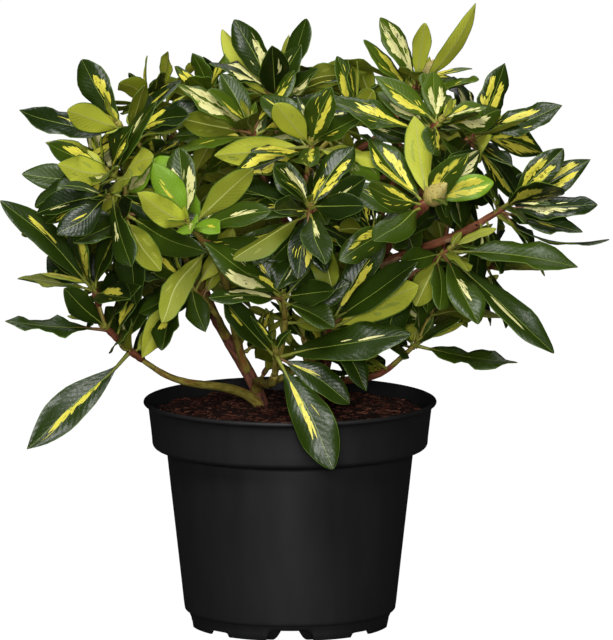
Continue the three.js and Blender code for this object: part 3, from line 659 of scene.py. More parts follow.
def grow_whorl(whorl, random, taken):
    """The other leaves of a whorl, from the lowest and widest spread to the upright ones at its tip."""
    first = ANY_TURN * random()
    for i in range(whorl.count):
        share = i / (whorl.count - 1)
        root = whorl.centre - whorl.stalk * (WHORL_RISE * (whorl.count - i) * 0.8)
        for attempt in range(WHORL_TRIES):
            angle = first + GOLDEN_TURN * i + WHORL_STRAY * attempt * (random() - 0.5)
            steep = LOWEST_PITCH + (HIGHEST_PITCH - LOWEST_PITCH) * share
            pitch = np.radians(steep + (12 + 7 * attempt) * (random() - 0.5))
            length = LEAF_LENGTH * (1.08 - 0.3 * share + 0.22 * (random() - 0.5)) * (1 - 0.05 * attempt)
            tip = root + length * tilted(whorl.axis, angle, pitch)
            bow = LEAF_ARCH * (0.6 + 0.7 * random())
            leaf = in_crown(tip) and try_leaf(taken, whorl, root, tip, bow, TURN_OUT)
            if leaf:
                whorl.leaves.append(leaf)
                break


def grow_old_leaves(whorl, twig, random, taken):
    """Leaves left from the year before: down the twig from its whorl, spread wide or hanging."""
    reach = np.linalg.norm(twig.curve[1] - twig.curve[0])
    first = ANY_TURN * random()
    for i in range(OLD_LEAVES):
        down = OLD_FROM + OLD_STEP * i
        if down > reach + OLD_BEYOND:
            break
        root = whorl.centre - whorl.stalk * down
        for attempt in range(OLD_TRIES):
            angle = first + GOLDEN_TURN * i + OLD_STRAY * attempt * (random() - 0.5)
            pitch = np.radians(OLD_PITCH + OLD_PITCH_RANGE * (random() - 0.5) + OLD_DROOP * i)
            length = OLD_LENGTH * (1.05 - 0.3 * random()) * (1 - 0.045 * attempt)
            tip = root + length * tilted(whorl.stalk, angle, pitch)
            if in_crown(tip + UP * whorl.hangs):
                roll = OLD_ROLL * (random() - 0.5)
                leaf = try_leaf(taken, whorl, root, tip, LEAF_ARCH, TURN_OUT, 1.0, FINE_CLEAR, roll)
                if leaf:
                    whorl.leaves.append(leaf)
                    break


def grow_young_leaves(whorl, random, taken):
    """Small upright leaves round the bud, longer and more spread from one to the next."""
    first = ANY_TURN * random()
    root = whorl.centre + whorl.axis * 1.5
    for i in range(YOUNG_LEAVES):
        for attempt in range(YOUNG_TRIES):
            angle = first + GOLDEN_TURN * i + YOUNG_STRAY * attempt * (random() - 0.5)
            pitch = np.radians(YOUNG_PITCH + YOUNG_OPENING * i + YOUNG_PITCH_RANGE * (random() - 0.5))
            length = YOUNG_LENGTH * (0.7 + 0.4 * i + 0.3 * random())
            tip = root + length * tilted(whorl.axis, angle, pitch)
            leaf = in_crown(tip, -YOUNG_ROOM) and try_leaf(
                taken, whorl, root, tip, LEAF_ARCH, TURN_OUT, YOUNG_SLENDER, FINE_CLEAR,
            )
            if leaf:
                whorl.young.append(leaf)
                break


def in_opening(leaf):
    """Do two of five points along the leaf lie in one of the openings?"""
    x, y, z = leaf.plain([0.1, 0.32, 0.55, 0.78, 1], np.zeros(5)).T
    seen = (z - VIEW_MIDDLE[2]) * np.cos(CAMERA_TILT) + y * np.sin(CAMERA_TILT)
    return any(
        ((x > left) & (x < right) & (seen > low) & (seen < high) & (y < nearer)).sum() > 1
        for (left, right), (low, high), nearer in OPENINGS
    )


def grow_plant():
    """Limbs first, then the masses' twigs, side shoots, long leaves and other leaves, and last the
    old and young leaves, whorl by whorl."""
    taken = TakenSpace()
    taken.take(*pot_ring())
    limbs = {name: stem_limb(*row) for name, row in STEMS.items()}
    on, at, tip, heading, radius = YOUNG_SHOOT
    limbs["young_shoot"] = bough_limb(limbs[on], at, vec(tip), unit(vec(heading)), radius)
    masses = {}
    for seed, (name, row) in enumerate(MASSES.items(), FIRST_SEED):
        first = vec(row.whorls[0][0])
        lean = lean_at(first)
        bough = limbs[row.on]
        if row.on != "young_shoot" or row.at != 1:
            bough = bough_limb(bough, row.at, first - lean * SPUR_LENGTH, lean, row.girth)
            limbs[name + "_bough"] = bough
        foot = on_curve(bough.curve, 1) + way_on(bough.curve, 1) * GAP
        masses[name] = Mass(name, seed, foot)
    for limb in limbs.values():
        taken.take(*sleeve(limb.curve, limb.radius_at, limb.steps, LIMB_SLEEVE_FROM))
    for mass in masses.values():
        for twig in mass.twigs:
            taken.take(*twig.sleeve())
    for mass in masses.values():
        grow_shoots(mass, masses.values(), taken)
    for mass in masses.values():
        for whorl in mass.whorls:
            grow_long_leaves(whorl, taken)
    for mass in masses.values():
        for whorl in mass.whorls:
            grow_whorl(whorl, mass.random, taken)
    for name, limb, at, way in SPRIGS:
        start = on_curve(limbs[limb].curve, at)
        twig = Twig(start, start + vec(way), SPRIG_RADIUS)
        masses[name].twigs.append(twig)
        masses[name].whorls.append(Whorl(twig, start + vec(way)))
        masses[name].whorls[-1].hangs = SPRIG_HANGS
    for mass in masses.values():
        for i, (twig, whorl) in enumerate(zip(mass.twigs, mass.whorls)):
            grow_old_leaves(whorl, twig, mass.random, taken)
            grow_young_leaves(whorl, mass.random, taken)
            fallen = FALLEN.get((mass.name, i), ())
            whorl.leaves = [
                leaf for k, leaf in enumerate(whorl.leaves)
                if leaf.mark or not (k in fallen or in_opening(leaf))
            ]
    return limbs, list(masses.values())


limbs, masses = grow_plant()

# ---------- surfaces


# Points in mm, faces of four and of three corners, each face's finish by its number in the piece's
# list, and each point's place: what a pattern on the surface is read from.
Surface = namedtuple("Surface", "points quads tris quad_finish tri_finish places")


def skin(rings, starts, ends, finish=0, places=None, split=0):
    """Closed skins, one for each row of `rings` (skins, rings, sides, 3). Each ring runs
    right-handed round the way from start to end, and the skin closes in a point at both. `finish`
    spreads over (skins, rings + 1, sides), from the start's fan to the end's. `places` has a place
    for each ring point, and the start and end take the middle of their own rings'. `split` is 1 for
    the sides whose quads are split the other way into triangles."""
    count, steps, sides = rings.shape[:3]
    if places is None:
        places = rings * MM
    size = steps * sides + 2
    points = np.concatenate([rings.reshape(count, -1, 3), starts[:, None], ends[:, None]], 1)
    flat_places = places.reshape(count, -1, 3)
    middles = [places[:, row].mean(1)[:, None] for row in (0, -1)]
    all_places = np.concatenate([flat_places, *middles], 1)
    first = (np.arange(count) * size)[:, None, None]
    here = first + (np.arange(steps) * sides)[None, :, None] + np.arange(sides)[None, None]
    onward = np.roll(here, -1, axis=2)
    quads = np.stack([here[:, :-1], onward[:, :-1], onward[:, 1:], here[:, 1:]], -1)
    split = np.broadcast_to(split, sides)[None, None, :, None] == 1
    quads = np.where(split, np.roll(quads, -1, axis=-1), quads)
    pole = np.broadcast_to(first[..., 0] + steps * sides, (count, sides))
    start_fan = np.stack([onward[:, 0], here[:, 0], pole], -1)
    end_fan = np.stack([here[:, -1], onward[:, -1], pole + 1], -1)
    finish = np.broadcast_to(finish, (count, steps + 1, sides))
    return Surface(
        points.reshape(-1, 3), quads.reshape(-1, 4), np.concatenate([start_fan, end_fan]).reshape(-1, 3),
        finish[:, 1:-1].ravel(), np.concatenate([finish[:, 0], finish[:, -1]]).ravel(),
        all_places.reshape(-1, 3),
    )


def joined(surfaces):
    """The surfaces as one, each one's face corners counted on from the points before it."""
    counts = np.array([len(surface.points) for surface in surfaces])
    shifts = np.cumsum(counts) - counts
    moved = [
        surface._replace(quads=surface.quads + shift, tris=surface.tris + shift)
        for surface, shift in zip(surfaces, shifts)
    ]
    return Surface(*[np.concatenate(parts) for parts in zip(*moved)])


def make_piece(name, surfaces, finishes, nodes, smooth=True):
    """A mesh object of the joined surfaces, riding on the root and standing for the CAD nodes."""
    surface = joined(surfaces)
    corners = np.concatenate([surface.quads.ravel(), surface.tris.ravel()])
    sizes = np.repeat([4, 3], [len(surface.quads), len(surface.tris)])
    mesh = bpy.data.meshes.new(name)
    mesh.vertices.add(len(surface.points))
    mesh.vertices.foreach_set("co", (surface.points * MM).astype(np.float32).ravel())
    mesh.loops.add(len(corners))
    mesh.loops.foreach_set("vertex_index", corners.astype(np.int32))
    mesh.polygons.add(len(sizes))
    mesh.polygons.foreach_set("loop_start", (np.cumsum(sizes) - sizes).astype(np.int32))
    for finish in finishes:
        mesh.materials.append(finish)
    used = np.concatenate([surface.quad_finish, surface.tri_finish]).astype(np.int32)
    mesh.polygons.foreach_set("material_index", used)
    place = mesh.attributes.new("place", "FLOAT_VECTOR", "POINT")
    place.data.foreach_set("vector", surface.places.astype(np.float32).ravel())
    mesh.update(calc_edges=True)
    if smooth:
        mesh.shade_smooth()
    else:
        mesh.shade_flat()
    piece = bpy.data.objects.new(name, mesh)
    bpy.context.scene.collection.objects.link(piece)
    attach(piece, "root")
    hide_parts(*nodes)


def ripples(random, count, *coordinates):
    """A smooth relief from -1 to 1: the mean of sine waves, each with its own phase, along every
    coordinate at once. A coordinate is (values, lowest and highest number of waves, whole or not)."""
    total = 0
    for _ in range(count):
        phase = random.uniform(0, 2 * np.pi)
        for values, low, high, whole in coordinates:
            waves = random.uniform(low, high)
            phase = phase + values * (round(waves) if whole else waves)
        total = total + np.sin(phase)
    return total / count


# ---------- materials


def linear(hex_colour):
    """The linear colour of an sRGB hex value such as #2c5a1a."""
    parts = np.array([int(hex_colour[i:i + 2], 16) for i in (1, 3, 5)]) / 255
    low = parts / 12.92
    high = ((parts + 0.055) / 1.055) ** 2.4
    return (*np.where(parts <= 0.04045, low, high), 1.0)


def add_node(tree, kind, links=None, stops=(), **settings):
    """Adds a shader node: settings of the node itself, its inputs as sockets or values, and the
    stops of a colour ramp, each a place and a colour."""
    made = tree.nodes.new("ShaderNode" + kind)
    for name, value in settings.items():
        setattr(made, name, value)
    for name, value in (links or {}).items():
        if isinstance(value, bpy.types.NodeSocket):
            tree.links.new(value, made.inputs[name])
        else:
            made.inputs[name].default_value = value
    for i, (place, colour) in enumerate(stops):
        made.color_ramp.elements[i].position = place
        made.color_ramp.elements[i].color = linear(colour)
    return made


def new_material(name):
    """A material whose node tree is empty, and that tree."""
    made = bpy.data.materials.new(name)
    made.use_nodes = True
    made.node_tree.nodes.clear()
    return made, made.node_tree


def shade(tree, inputs, height=None, strength=1.0, depth=0.0):
    """Ends a tree with the Principled shader that has these inputs. Where a height is given it
    also has the bump that the height makes, up to `depth` mm deep."""
    if height is not None:
        bump = add_node(tree, "Bump", {"Height": height, "Strength": strength, "Distance": depth * MM})
        inputs = {**inputs, "Normal": bump.outputs["Normal"]}
    shader = add_node(tree, "BsdfPrincipled", inputs)
    add_node(tree, "OutputMaterial", {"Surface": shader.outputs["BSDF"]})


def per_mm(size):
    """The noise scale whose pattern repeats about every `size` mm, on coordinates in metres."""
    return 1 / (size * MM)


VEIN_PAIRS = 14
VEIN_SWEEP = -0.22  # of the leaf's length, from the midrib to the edge


def side_veins(tree, size, share):
    """The height of a leaf's surface: a finer net of `size` mm, plus `share` times the side veins,
    a sine along the leaf that is swept towards its tip. Returns the height and the net alone."""
    spot = add_node(tree, "TexCoord").outputs["Object"]
    place = add_node(tree, "Attribute", attribute_name="place").outputs["Vector"]
    split = add_node(tree, "SeparateXYZ", {"Vector": place})
    outward = add_node(tree, "Math", {0: split.outputs["Y"]}, operation="ABSOLUTE")
    swept = add_node(
        tree, "Math", {0: outward.outputs[0], 1: VEIN_SWEEP, 2: split.outputs["X"]},
        operation="MULTIPLY_ADD",
    )
    turns = add_node(tree, "Math", {0: swept.outputs[0], 1: VEIN_PAIRS * 2 * np.pi}, operation="MULTIPLY")
    veins = add_node(tree, "Math", {0: turns.outputs[0]}, operation="SINE")
    net = add_node(tree, "TexNoise", {"Vector": spot, "Scale": per_mm(size), "Detail": 4.0})
    height = add_node(
        tree, "Math", {0: veins.outputs[0], 1: share, 2: net.outputs["Fac"]}, operation="MULTIPLY_ADD",
    )
    return height.outputs[0], net.outputs["Fac"]


def waxy_leaf(name, colour, roughness):
    """Upper side of an evergreen leaf: a thick waxy cuticle over a net of sunken veins. The wax
    mirrors the light in a broken, speckled sheen; side veins every 6 mm quilt the blade."""
    made, tree = new_material(name)
    height, net = side_veins(tree, size=2.2, share=0.16)
    sheen = add_node(
        tree, "MapRange", {"Value": net, "To Min": roughness - 0.06, "To Max": roughness + 0.18},
    )
    inputs = {"Base Color": linear(colour), "Roughness": sheen.outputs[0], "IOR": 1.45}
    shade(tree, inputs, height, strength=0.5, depth=0.45)
    return made


def matt_leaf(name, colour):
    """Underside of an evergreen leaf: pale and matt, its veins standing out, with no wax to shine."""
    made, tree = new_material(name)
    height, _ = side_veins(tree, size=3, share=0.2)
    inputs = {"Base Color": linear(colour), "Roughness": 0.6, "IOR": 1.4}
    shade(tree, inputs, height, strength=0.5, depth=0.4)
    return made


def plain_tissue(name, colour, roughness):
    """Smooth plant tissue of one colour, such as a midrib, a stalk, a bud scale or a yellow streak."""
    made, tree = new_material(name)
    spot = add_node(tree, "TexCoord").outputs["Object"]
    grain = add_node(tree, "TexNoise", {"Vector": spot, "Scale": per_mm(1.5), "Detail": 2.0})
    inputs = {"Base Color": linear(colour), "Roughness": roughness, "IOR": 1.42}
    shade(tree, inputs, grain.outputs["Fac"], strength=0.25, depth=0.2)
    return made


def woody_bark(name, deep, light, flake, roughness):
    """Bark of a woody stem: dry, fibrous, split lengthwise, with paler flakes standing off."""
    made, tree = new_material(name)
    along = add_node(tree, "Attribute", attribute_name="place").outputs["Vector"]
    fibre = add_node(
        tree, "TexNoise", {"Vector": along, "Scale": per_mm(2.4), "Detail": 6.0, "Roughness": 0.65},
    )
    flakes = add_node(tree, "TexNoise", {"Vector": along, "Scale": per_mm(5), "Detail": 3.0})
    ground = add_node(
        tree, "ValToRGB", {"Fac": fibre.outputs["Fac"]}, stops=((0.36, deep), (0.66, light)),
    )
    patch = add_node(
        tree, "MapRange", {"Value": flakes.outputs["Fac"], "From Min": 0.56, "From Max": 0.66},
    )
    colour = add_node(
        tree, "Mix", {"Factor": patch.outputs[0], "A": ground.outputs["Color"], "B": linear(flake)},
        data_type="RGBA",
    )
    inputs = {"Base Color": colour.outputs["Result"], "Roughness": roughness, "IOR": 1.45}
    shade(tree, inputs, fibre.outputs["Fac"], strength=0.8, depth=0.9)
    return made


def moulded_polypropylene():
    """Black polypropylene, injection moulded: nearly black all through, with the soft satin gloss
    of a fine eroded mould and faint flow marks from the gate upwards."""
    made, tree = new_material("moulded_polypropylene")
    spot = add_node(tree, "TexCoord").outputs["Object"]
    stretched = add_node(tree, "Mapping", {"Vector": spot, "Scale": (1, 1, 0.2)})
    grain = add_node(tree, "TexNoise", {"Vector": spot, "Scale": per_mm(0.9), "Detail": 2.0})
    flow = add_node(
        tree, "TexNoise", {"Vector": stretched.outputs["Vector"], "Scale": per_mm(14), "Detail": 3.0},
    ).outputs["Fac"]
    gloss = add_node(tree, "MapRange", {"Value": flow, "To Min": 0.5, "To Max": 0.6})
    colour = add_node(tree, "ValToRGB", {"Fac": flow}, stops=((0.3, "#1d1d1e"), (0.7, "#222223")))
    inputs = {
        "Base Color": colour.outputs["Color"], "Roughness": gloss.outputs[0], "IOR": 1.49,
        "Specular IOR Level": 0.35,
    }
    shade(tree, inputs, grain.outputs["Fac"], strength=0.12, depth=0.2)
    return made


def potting_mix():
    """Peat and bark mix: moist, fibrous and nearly black brown, with redder crumbs."""
    made, tree = new_material("potting_mix")
    spot = add_node(tree, "TexCoord").outputs["Object"]
    crumbs = add_node(
        tree, "TexNoise", {"Vector": spot, "Scale": per_mm(4), "Detail": 8.0, "Roughness": 0.7},
    ).outputs["Fac"]
    colour = add_node(tree, "ValToRGB", {"Fac": crumbs}, stops=((0.35, "#140a06"), (0.7, "#4a2214")))
    inputs = {"Base Color": colour.outputs["Color"], "Roughness": 0.95, "IOR": 1.4}
    shade(tree, inputs, crumbs, strength=1.0, depth=2.5)
    return made


# ---------- leaf blades

STALK_SHARE = 0.13  # of the leaf's length, before its blade begins
USUAL_LENGTH = 90  # stalks and streaks are as thick as their tables say on a leaf of this length
BLADE_THICKNESS = 0.6
# How blades differ, drawn in this order: lowest and highest of each.
BLADE_RANGES = {
    "slim": (0.8, 0.96),  # of the width that the rule tests
    "fold": (0.04, 0.5), "curl": (0.02, 0.34), "wave": (0.04, 0.23), "waves": (1.1, 2.2),
    "phase": (0, 2 * np.pi), "sway": (-0.06, 0.06), "twist": (-0.5, 0.5), "roll": (-0.25, 0.25),
    "base": (0.85, 1.2), "point": (0.68, 1.05), "ragged": (0.0, 0.07), "notches": (1.5, 2.7),
}
MARKED_SHARE = 0.3  # leaves with a mark keep closer to where they were put
RIB_HALF = 0.35  # half width of the pale midrib on the upper side
RIDGE_HALF = 0.8  # and of the ridge that it makes below
# A stalk's run along the leaf's chord, in shares of its length, and its radii along that.
STALK_RUN = (-0.02, 0.34)
STALK_RADII = ([-0.02, 0.02, 0.13, 0.34], [2.2, 1.7, 1.35, 0.5])
BLADE_ROWS = 17
ROW_STEPS = np.linspace(0, 0.975, BLADE_ROWS)
ROW_PLACES = np.append(0.45 * ROW_STEPS + 0.55 * (3 * ROW_STEPS ** 2 - 2 * ROW_STEPS ** 3), 1)
COLUMN_SHARES = np.array([-0.955, -0.5, 0, 0.5, 0.955])

# The blade's ring, from its left edge over the upper side to its right edge and back below:
# share of the half width, mm added outwards, lift in half thicknesses, mm of ridge, and the kind
# of the strip that follows.
EDGE, TOP, RIB, UNDER, RIDGE = range(5)
BLADE_RING = np.array([
    (1.0, 0, 0, 0, EDGE), (0.955, 0, 1, 0, TOP), (0.5, 0, 1, 0, TOP), (0, RIB_HALF, 0.8, 0, RIB),
    (0, -RIB_HALF, 0.8, 0, TOP), (-0.5, 0, 1, 0, TOP), (-0.955, 0, 1, 0, EDGE), (-1.0, 0, 0, 0, EDGE),
    (-0.93, 0, -1, 0, UNDER), (-0.5, 0, -1, 0, UNDER), (0, -RIDGE_HALF, -1, 0.7, RIDGE),
    (0, RIDGE_HALF, -1, 0.7, UNDER), (0.5, 0, -1, 0, UNDER), (0.93, 0, -1, 0, EDGE),
])


def outline(b, base, point):
    """Half width of the blade along b, of its widest: b to the power `base` times (1 - b) to the
    power `point`, scaled to 1, with a little left where it runs into the stalk."""
    b = np.clip(b, 0, 1)
    widest = base / (base + point)
    peak = widest ** base * (1 - widest) ** point
    return b ** base * (1 - b) ** point / peak + 0.06 * np.exp(-20 * b)


class Blades:
    """Many leaves as arrays: where the rule set them, and the seeded ways their blades differ."""

    def __init__(self, leaves, random):
        *arrays, marks = zip(*leaves)
        self.root, self.way, self.upper, self.length, half, self.arch = map(np.array, arrays)
        for name, reach in BLADE_RANGES.items():
            setattr(self, name, random.uniform(*reach, len(leaves)))
        placed = np.array([MARKED_SHARE if mark else 1 for mark in marks])
        self.half = half * self.slim
        self.sway = self.sway * np.sqrt(placed)
        self.twist = self.twist * placed
        self.roll = self.roll * placed

    def pick(self, index):
        """The leaves at these places in the arrays, in that order."""
        some = object.__new__(Blades)
        some.__dict__ = {name: values[index] for name, values in self.__dict__.items()}
        return some


def half_width(blades, b):
    """Half width in mm at each b, of arrays whose first axis is the leaves."""
    each = (-1, *[1] * (np.ndim(b) - 1))
    shape = outline(b, blades.base.reshape(each), blades.point.reshape(each))
    notch = np.sin(2 * np.pi * blades.notches.reshape(each) * b + 2 * blades.phase.reshape(each))
    return shape * blades.half.reshape(each) * (1 + blades.ragged.reshape(each) * notch)


def on_blade(blades, b, x, lift):
    """Points b along the blade, x mm across it and `lift` mm above it. The midrib is a parabola
    over the chord; the halves fold up by `fold` times |x|, curl down by the fourth power of the
    share across, and wave along the edge; then all turns about the chord by roll + twist sin(pi b)."""
    def wide(values):
        return values.reshape(-1, 1, 1)

    s = STALK_SHARE + (1 - STALK_SHARE) * b
    half = np.maximum(0.4, half_width(blades, b))
    c = np.clip(x / half, -1, 1)
    length = wide(blades.length)
    rise = wide(blades.arch) * length * 4 * s * (1 - s) + wide(blades.fold) * np.abs(x)
    rise = rise - wide(blades.curl) * half * c ** 4
    turns = 2 * np.pi * wide(blades.waves) * b
    edge_wave = np.sin(turns + wide(blades.phase) + 1.7 * np.sign(c))
    edge_wave = edge_wave + 0.45 * np.sin(2.3 * turns + 3 * wide(blades.phase) - 0.9 * np.sign(c))
    rise = rise + wide(blades.wave) * half * np.abs(c) ** 2.5 * edge_wave + lift
    across = x + wide(blades.sway) * length * np.sin(np.pi * b) ** 2
    turn = wide(blades.roll) * np.minimum(1, 5 * s) + wide(blades.twist) * np.sin(np.pi * np.clip(b, 0, 1))
    turned_x = across * np.cos(turn) - rise * np.sin(turn)
    turned_rise = across * np.sin(turn) + rise * np.cos(turn)
    side = np.cross(blades.upper, blades.way)

    def spread(amount, ways):
        return amount[..., None] * ways[:, None, None]

    return (
        blades.root[:, None, None] + spread(s * length, blades.way)
        + spread(turned_rise, blades.upper) + spread(turned_x, side)
    )


def on_facets(blades, b, share, lift):
    """Points on the blade's own flat triangles: mixed from three corners of the face that holds b
    along the leaf and `share` of the half width across."""
    row = np.clip(np.searchsorted(ROW_PLACES, b) - 1, 0, len(ROW_PLACES) - 2)
    column = np.clip(np.searchsorted(COLUMN_SHARES, share) - 1, 0, len(COLUMN_SHARES) - 2)
    down = (b - ROW_PLACES[row]) / (ROW_PLACES[row + 1] - ROW_PLACES[row])
    over = (share - COLUMN_SHARES[column]) / (COLUMN_SHARES[column + 1] - COLUMN_SHARES[column])
    near = down + over < 1
    parts = {
        (0, 0): np.where(near, 1 - down - over, 0), (1, 0): np.where(near, down, 1 - over),
        (0, 1): np.where(near, over, 1 - down), (1, 1): np.where(near, 0, down + over - 1),
    }
    total = 0
    for (next_row, next_column), part in parts.items():
        at = ROW_PLACES[row + next_row]
        x = COLUMN_SHARES[column + next_column] * half_width(blades, at)
        total = total + part[..., None] * on_blade(blades, at, x, lift)
    return total


def blade_skins(blades, finishes):
    """The blades as closed skins with a pale rib, and a pale edge line that is a paler margin with a
    painted highlight along it. `finishes` gives, for each leaf, the number of the finish of each kind of
    strip."""
    b = ROW_PLACES[None, :-1, None]
    share, added, lift, ridge, kind = BLADE_RING.T
    half = half_width(blades, b)
    taper = 1 - 0.75 * b
    x = share * half + np.clip(added * taper, -0.5 * half, 0.5 * half)
    lifts = 0.5 * BLADE_THICKNESS * lift - ridge * taper
    rings = on_blade(blades, b, x, lifts)
    flat = np.zeros((1, 1, 1))
    starts = on_blade(blades, flat - 0.015, flat, flat)[:, 0, 0]
    ends = on_blade(blades, flat + 1, flat, flat)[:, 0, 0]
    finish = finishes[:, kind.astype(int)][:, None, :]
    places = np.stack(np.broadcast_arrays(b, x / half, blades.phase[:, None, None]), -1)
    return skin(rings, starts, ends, finish, places, kind >= UNDER)


def stalk_skins(blades, finish):
    """Leaf stalks: from inside the twig to under the blade, 6 sides, thinning as they go."""
    s = np.linspace(*STALK_RUN, 6)
    radius = np.interp(s, *STALK_RADII) * (blades.length[:, None] / USUAL_LENGTH) ** 0.5
    rise = blades.arch[:, None] * blades.length[:, None] * 4 * s * (1 - s) - 0.4 * radius
    centre = (
        blades.root[:, None] + (s * blades.length[:, None])[..., None] * blades.way[:, None]
        + rise[..., None] * blades.upper[:, None]
    )
    around = ring_of_ways(circle(6), np.cross(blades.upper, blades.way), blades.upper)
    rings = centre[:, :, None] + radius[..., None, None] * around[:, None]
    starts, ends = centre[:, 0] - blades.way * 0.5, centre[:, -1] + blades.way * 2
    return skin(rings, starts, ends, finish[:, None, None])


# A streak: where its rings are along its way, how wide each is of the widest, and how many mm it
# stands out, a little more unless it is pale green.
STREAK_PLACES = np.array([[0.0, 0.3, 0.65, 0.9]])
STREAK_WIDTHS = np.array([0.5, 1.0, 0.8, 0.35])
STREAK_RAISED, COLOURED_RAISED = 0.1, 0.05
STREAK_REACH = 0.93  # of the half width, at most
LEAST_HALF = 0.5  # the half width that streaks reckon with near a leaf's ends, at least


def streak_skins(blades, b0, b_run, c0, c1, widest, finish, below):
    """Yellow streaks set into the upper side, or the underside where `below` is 1: slivers of three
    sides, each from b0 along the leaf over b_run, while its share across goes from c0 to c1, widest
    at a third of its way."""
    def half_at(b):
        return np.maximum(LEAST_HALF, half_width(blades, b))

    def within(share):
        return np.clip(share, -STREAK_REACH, STREAK_REACH)

    t = STREAK_PLACES
    b = b0[:, None] + b_run[:, None] * t
    x = (c0[:, None] + (c1 - c0)[:, None] * t ** 0.8) * half_at(b)
    blade_length = (blades.length * (1 - STALK_SHARE))[:, None]
    along = np.gradient(b, axis=1) * blade_length
    outward = np.gradient(x, axis=1)
    run = np.hypot(along, outward)
    width = widest[:, None] * STREAK_WIDTHS
    side = (1 - 2 * below)[:, None]
    step_b, step_x = -side * outward / run * width / blade_length, side * along / run * width
    rows_b = np.clip(np.stack([b + step_b, b - step_b, b], -1), 0.01, 0.97)
    rows_x = np.stack([x + step_x, x - step_x, x], -1)
    raised = STREAK_RAISED + COLOURED_RAISED * (finish != PALE_STREAK)[:, None, None]
    lift = np.array([0.5, 0.5, -0.1]) * BLADE_THICKNESS + np.array([1, 1, 0]) * raised
    rings = on_facets(blades, rows_b, within(rows_x / half_at(rows_b)), lift * side[:, :, None])

    def tip(share_on, column):
        far_b = np.clip(b0 + b_run * share_on, 0.01, 0.98)[:, None, None]
        far_x = x[:, column] + (share_on - t[0, column]) * (x[:, -1] - x[:, -2]) * (column != 0)
        level = (0.5 * BLADE_THICKNESS + 0.08) * side[:, :, None]
        return on_facets(blades, far_b, within(far_x[:, None, None] / half_at(far_b)), level)[:, 0, 0]

    return skin(rings, tip(-0.06, 0), tip(1.0, -1), finish[:, None, None])


# ---------- the foliage pieces


def tissues(roughness, **colours):
    """Plain tissues of one roughness, by name and colour."""
    return [plain_tissue(name, colour, roughness) for name, colour in colours.items()]


LEAF_TOPS = [
    waxy_leaf("leaf_top_deep_green", "#1c2d06", 0.27), waxy_leaf("leaf_top_dark_green", "#283b08", 0.28),
    waxy_leaf("leaf_top_green", "#374c0b", 0.3), waxy_leaf("leaf_top_mid_green", "#4d6410", 0.32),
    waxy_leaf("leaf_top_fresh_green", "#7fa826", 0.4), waxy_leaf("leaf_top_lime_yellow", "#bcc244", 0.42),
]
LEAF_UNDERS = [
    matt_leaf("leaf_under_olive", "#747d1c"), matt_leaf("leaf_under_yellow_green", "#929a29"),
    matt_leaf("leaf_under_lime", "#bec43e"),
]
# The pale edge is a slightly paler margin with a painted highlight along it, where the rounded edge catches
# the light.
LEAF_LINES = tissues(0.45, leaf_rib_pale="#93a544", leaf_edge_pale="#65812c", leaf_ridge_pale="#bcc068")
LEAF_FINISHES = LEAF_TOPS + LEAF_UNDERS + LEAF_LINES
FIRST_UNDER = len(LEAF_TOPS)
FRESH_TOP, LIME_TOP = FIRST_UNDER - 2, FIRST_UNDER - 1
PALE_RIB, PALE_EDGE_AND_HIGHLIGHT, PALE_RIDGE = range(FIRST_UNDER + len(LEAF_UNDERS), len(LEAF_FINISHES))
# The cream streaks are a paler yellow and partly painted sheen: the yellow as it looks under a highlight.
STREAKS = tissues(
    0.42, streak_lemon_yellow="#efe552", streak_cream="#f2eea4", streak_pale_green="#94ab3c",
) + tissues(
    0.6, streak_under_olive="#858d2e", streak_under_yellow_green="#a5a93c", streak_under_lime="#a7b243",
)
PALE_STREAK, FIRST_UNDER_STREAK = 2, 3
STALKS = tissues(0.45, stalk_green="#94993e", stalk_reddish="#85603a")
BUDS = tissues(
    0.45, bud_scale_green="#a8a848", bud_scale_brown="#94743c", bud_scale_straw="#c3b468",
    bud_scale_tip="#a88e4c",
)

# Of the leaves without a mark of their own: shares that are heavily and lightly streaked and that
# are turned over, in the crown's upper part and below it.
PATTERN_SHARES = {"high": (0.8, 0.17, 0.15), "low": (0.2, 0.34, 0.13)}
HIGH_FROM = 375
PLAIN, LIGHT, HEAVY, WIDE = range(4)
PATTERN_OF = {"n": PLAIN, "u": PLAIN, "y": PLAIN, "l": LIGHT, "f": LIGHT, "h": HEAVY, "w": WIDE}
# Shares of fresh green leaves, in most masses and where there are more, of young leaves that aren't
# lime yellow, and of undersides that may be a shade on from their spray's, and that are lime.
FRESH_SHARE, FRESH_SHARES = 0.02, {"left_fresh": 0.32}
YOUNG_GREEN_SHARE = 0.7
NEXT_UNDER_SHARE, LIME_UNDER_SHARE = 0.6, 0.08
LIME_UNDER = 2
NARROW = 0.6  # breadth of a leaf whose mark is a capital


